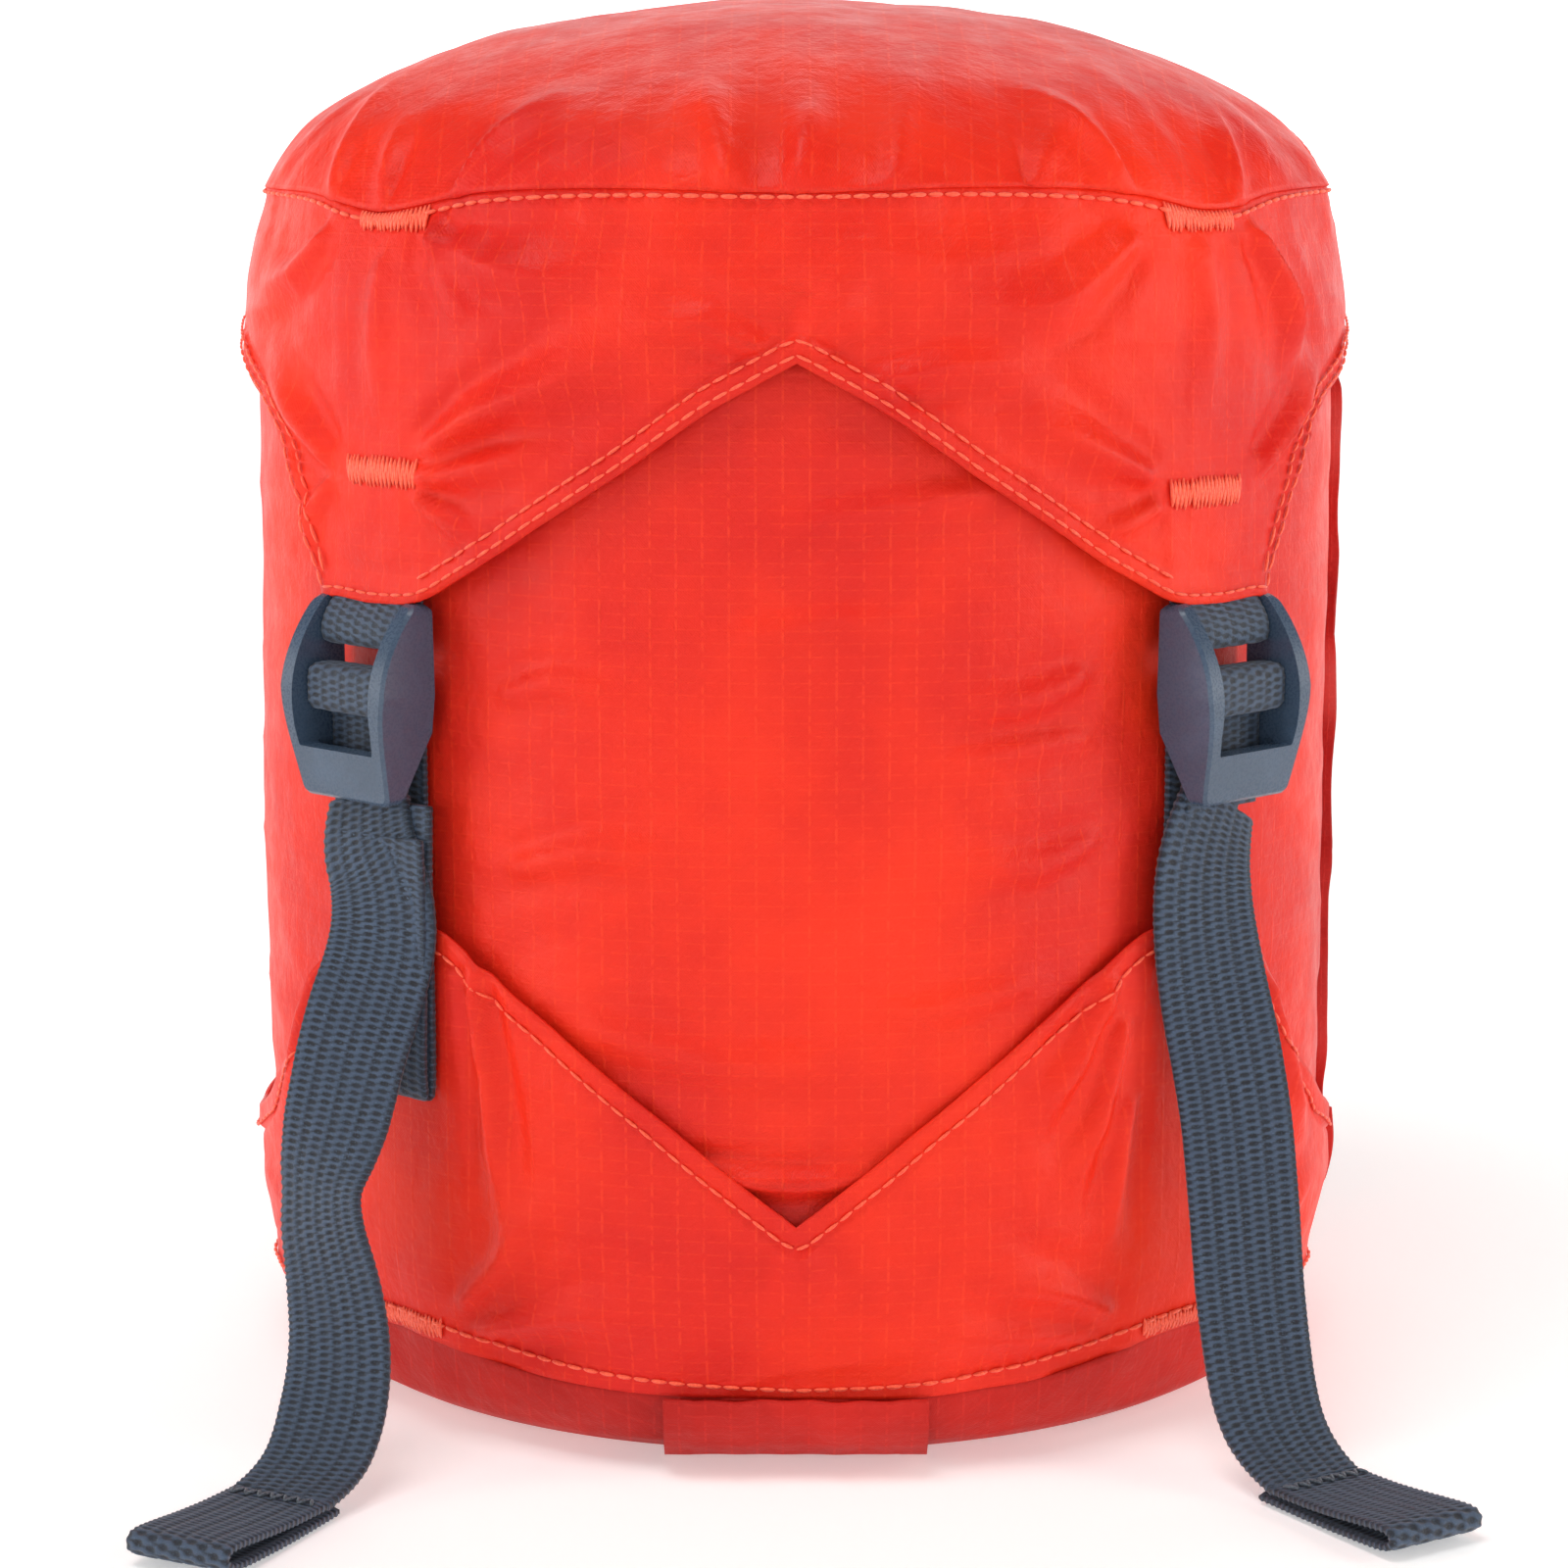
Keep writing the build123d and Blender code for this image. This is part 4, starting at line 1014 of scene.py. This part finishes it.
def tail(key):
    """A loose tail, its folded end and the stitches that hold the fold, as three pieces on the lid."""
    route = np.array(TAILS[key]) * MM
    way = np.array([*HEM_WAY[key], 0.0])
    flat_across = np.cross(way / np.linalg.norm(way), (0, 0, 1.0))
    twist = list(TAIL_TWIST[key])
    sign = np.sign(np.dot(flat_across, np.array(twist[-1][1])))
    twist[-1] = (1, tuple(flat_across * sign))
    obj, line, length = web_strip(f"web_tail_{key}", route, (1, 0, 0), (1, 0, 0), twist=twist, seed=3)
    finish_piece(obj, WEB, "lid", "webbing", f"strap_tail_{key}")
    end, across = hem_end(key, route[-1], way)
    finish_piece(end, WEB, "lid", "webbing", f"strap_end_{key}")
    # A row of zigzag thread holds the fold.
    d = way / np.linalg.norm(way)
    turns = np.linspace(-7.4, 7.4, 14)[:, None]
    swing = np.where(np.arange(14) % 2, -1.0, 1.0)[:, None]
    corners = route[-1] + (across * turns + d * (2.6 + swing) + np.array([0, 0, 0.95])) * MM
    tacks = [(corners[:-1], corners[1:], np.tile([0, 0, 1.0], (13, 1)))]
    thread = finish_piece(rods(f"web_end_stitch_{key}", tacks, 0.3 * MM), WEB_THREAD, "lid", "webbing")


def in_plane(points, angle, side=0.0):
    return np.array([strap_point(angle, r, z, side) for r, z in points])


def strap_strip(kind, key, points, relief, thickness, seed, width=WEB_W):
    """One stretch of a strap, in its own plane."""
    angle = STRAPS[key]
    across = strap_across(angle)
    return web_strip(f"web_{kind}_{key}", in_plane(points, angle), across, across, relief=relief, width=width,
                     thickness=thickness, seed=seed)[0]


def bridge(kind, key, points, start, end, seed):
    """A strip hidden in the webbing at rest; start and end pick its points on the buckle and on the lid,
    which nothing then uses.
    """
    strip = strap_strip(kind, key, points, 0.1, 0.7, seed, WEB_W - 0.5)
    strip.data.materials.append(WEB)
    start, end = (tuple(strap_point(STRAPS[key], *points[k])) for k in (start, end))
    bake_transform(strip)


def straps():
    for key in STRAPS:
        load = strap_strip("load", key, LOAD, 0.16, 1.05, 11)
        load.data.materials.append(WEB)
        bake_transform(load)
        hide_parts(f"strap_load_{key}")
        loop = strap_strip("loop", key, LOOP, 0.14, 1.05, 12)
        finish_piece(loop, WEB, "lid", "webbing", f"buckle_loop_{key}")
        wrap = strap_strip("wrap", key, WRAP, 0.16, 1.1, 13)
        finish_piece(wrap, WEB, f"buckle_{key}", "webbing", f"strap_wrap_{key}")
        bridge("root", key, ROOT, 1, 3, 15)
        bridge("lead", key, LEAD, 3, 1, 16)
        tail(key)
    slack = web_strip("web_bight_front_left", in_plane(BIGHT, -43.0, 0.8), strap_across(-41.0),
                      strap_across(-38.0), relief=0.16, thickness=1.1, seed=14)[0]
    finish_piece(slack, WEB, "lid", "webbing", "strap_bight_front_left")


# ---- mouth and cord
def mouth():
    """The gathered hem of the mouth: pleats drawn together over the cord."""
    angle = round_angles(420)
    turn_round = np.linspace(0, 2 * pi, 28, endpoint=False)[:, None]
    pleat = 0.32 * pleats(angle) + 0.12 * noise(angle / 360, turn_round / 6.3, 90, 8, 35)
    tube = HEM_R + pleat
    r = MOUTH_R + tube * np.cos(turn_round)
    z = MOUTH_Z + tube * np.sin(turn_round)
    points = polar(angle + 0 * r, r, z)
    points = np.concatenate([points, points[:1]], 0)
    uv = grid_uv(angle / 360 * 2 * pi * MOUTH_R * MM * 2.4, np.linspace(0, 18, 29)[:, None] * MM)
    obj = grid_object("mouth_gathers", points, uv)
    finish_piece(obj, CLOTH, "sack", "shell_cloth", "mouth_hem")
    neck_rows = np.linspace(0, 1, 12)[:, None]
    r = 18.4 - 3.2 * neck_rows + 0 * angle
    pleat = (0.9 - 0.5 * neck_rows) * pleats(angle)
    points = polar(angle, r + pleat * 0.5, 201.6 + 3.6 * neck_rows + 0 * angle)
    uv = grid_uv(angle / 360 * 2 * pi * 18 * MM * 2.4, neck_rows * 5 * MM)
    finish_piece(thicken(grid_object("mouth_neck", points, uv), 0.5), CLOTH, "sack", "shell_cloth")


def lock_spring():
    """A coil in place of the CAD's rings, at rest: it is not made to shorten as the button is pressed."""
    low, high = (np.array(p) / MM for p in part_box("cord_lock_spring"))
    wire, turns, sides, steps, travel = 0.3, 4.5, 8, 200, 3.0
    middle = (low + high) / 2
    coil, length = (high[2] - low[2]) / 2 - wire, high[0] - low[0]
    t = np.linspace(0, 1, steps + 1)[:, None]
    round_wire = np.linspace(0, 2 * pi, sides, endpoint=False)[None, :]
    radius = coil + wire * np.cos(round_wire)
    x = low[0] + wire + (length - 2 * wire) * t + wire * np.sin(round_wire)
    a = 2 * pi * turns * t
    points = np.stack([x, middle[1] + radius * np.cos(a), middle[2] + radius * np.sin(a)], -1) * MM
    starts = [(i * sides, k, (k + 1) % sides) for i in range(steps) for k in range(sides)]
    faces = [[i + k, i + m, i + sides + m, i + sides + k] for i, k, m in starts]
    faces += [list(range(sides))[::-1], [steps * sides + k for k in range(sides)]]
    obj = mesh_object("lock_coil", points.reshape(-1, 3), faces)
    finish_piece(obj, WIRE, "cord_lock", "spring_wire", "cord_lock_spring")
    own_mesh(obj)


sack_body()
lid_side()
lid_crown()
skirt()
base()
grip()
side_seam()
stitching()
straps()
mouth()
lock_spring()
# The CAD nodes that stay in sight, by how their names start.
CAD_LOOKS = {"buckle": BUCKLE, "cord_lock": LOCK, "drawcord": CORD}
for name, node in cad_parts.items():
    if node.hide_render:
        continue
    look = next((look for start, look in CAD_LOOKS.items() if name.startswith(start)), CLOTH)
    node.data.materials.clear()
    node.data.materials.append(look)


# ---- floor, light and camera
FLOOR_R, WALL_H, STAGE_SIDES = 12.0, 4.5, 64
NEAR_GLOW, FAR_GLOW = 0.36, 0.80


def stage_piece(name, verts, faces, near_glow, far_glow):
    """A pale piece of the stage, which glows more where the lamps no longer reach it."""
    piece = mesh_object(name, verts, faces)
    n = Nodes(name)
    place = n.place()
    away = n.add("ShaderNodeVectorMath", {0: place}, operation="LENGTH").outputs["Value"]
    glow = n.ramp(away, 0.35, 2.0, near_glow, far_glow)
    tone = n.mix(n.noise(place, 3.0, 2.0), (0.90, 0.90, 0.90, 1), (0.94, 0.94, 0.94, 1))
    piece.data.materials.append(n.surface(tone, 0.7, Emission_Color=(1, 1, 1, 1), Emission_Strength=glow))


def stage():
    """A wide round floor and a pale wall far off all round it."""
    n = STAGE_SIDES
    a = 2 * pi * np.arange(STAGE_SIDES) / 64
    rim = np.stack([FLOOR_R * np.cos(a), FLOOR_R * np.sin(a), 0 * a - 0.0002], -1)
    stage_piece("floor", rim, [list(range(STAGE_SIDES))], NEAR_GLOW, FAR_GLOW)
    wall = [[k, (k + 1) % n, n + (k + 1) % n, n + k] for k in range(STAGE_SIDES)]
    stage_piece("backdrop", np.concatenate([rim, rim + (0, 0, WALL_H)]), wall, FAR_GLOW, FAR_GLOW)


def softbox(name, place, target, size, power, color=(1, 1, 1)):
    data = bpy.data.lights.new(name, "AREA")
    data.shape, data.size, data.size_y, data.energy, data.color = "RECTANGLE", size[0], size[1], power, color
    lamp = bpy.data.objects.new(name, data)
    lamp.location = place
    lamp.rotation_euler = (Vector(target) - Vector(place)).to_track_quat("-Z", "Y").to_euler()
    bpy.context.scene.collection.objects.link(lamp)


WARM = (1.0, 0.88, 0.76)
stage()
softbox("key", (-0.25, -0.45, 1.25), (0, 0, 0.14), (0.7, 0.5), 6.6)
softbox("left", (-1.1, -0.35, 0.45), (0, 0, 0.10), (0.35, 0.9), 3.4, WARM)
softbox("right", (1.1, -0.30, 0.45), (0, 0, 0.10), (0.35, 0.9), 4.2, WARM)
softbox("back", (0.1, 0.95, 0.95), (0, 0, 0.15), (1.2, 0.5), 4.0)
world = bpy.data.worlds.new("studio")
bpy.context.scene.world = world
world.use_nodes = True
background = world.node_tree.nodes["Background"]
background.inputs[0].default_value = (1, 1, 1, 1)
background.inputs[1].default_value = 0.10
bpy.context.scene.view_settings.view_transform = "Standard"

camera = bpy.data.objects.new("camera", bpy.data.cameras.new("camera"))
camera.location = (-0.0018, -0.6536, 0.20005)
camera.rotation_euler = (pi / 2 - 0.163, 0, 0)
camera.data.sensor_width = 36.0
camera.data.lens = 89.93
bpy.context.scene.collection.objects.link(camera)
bpy.context.scene.camera = camera
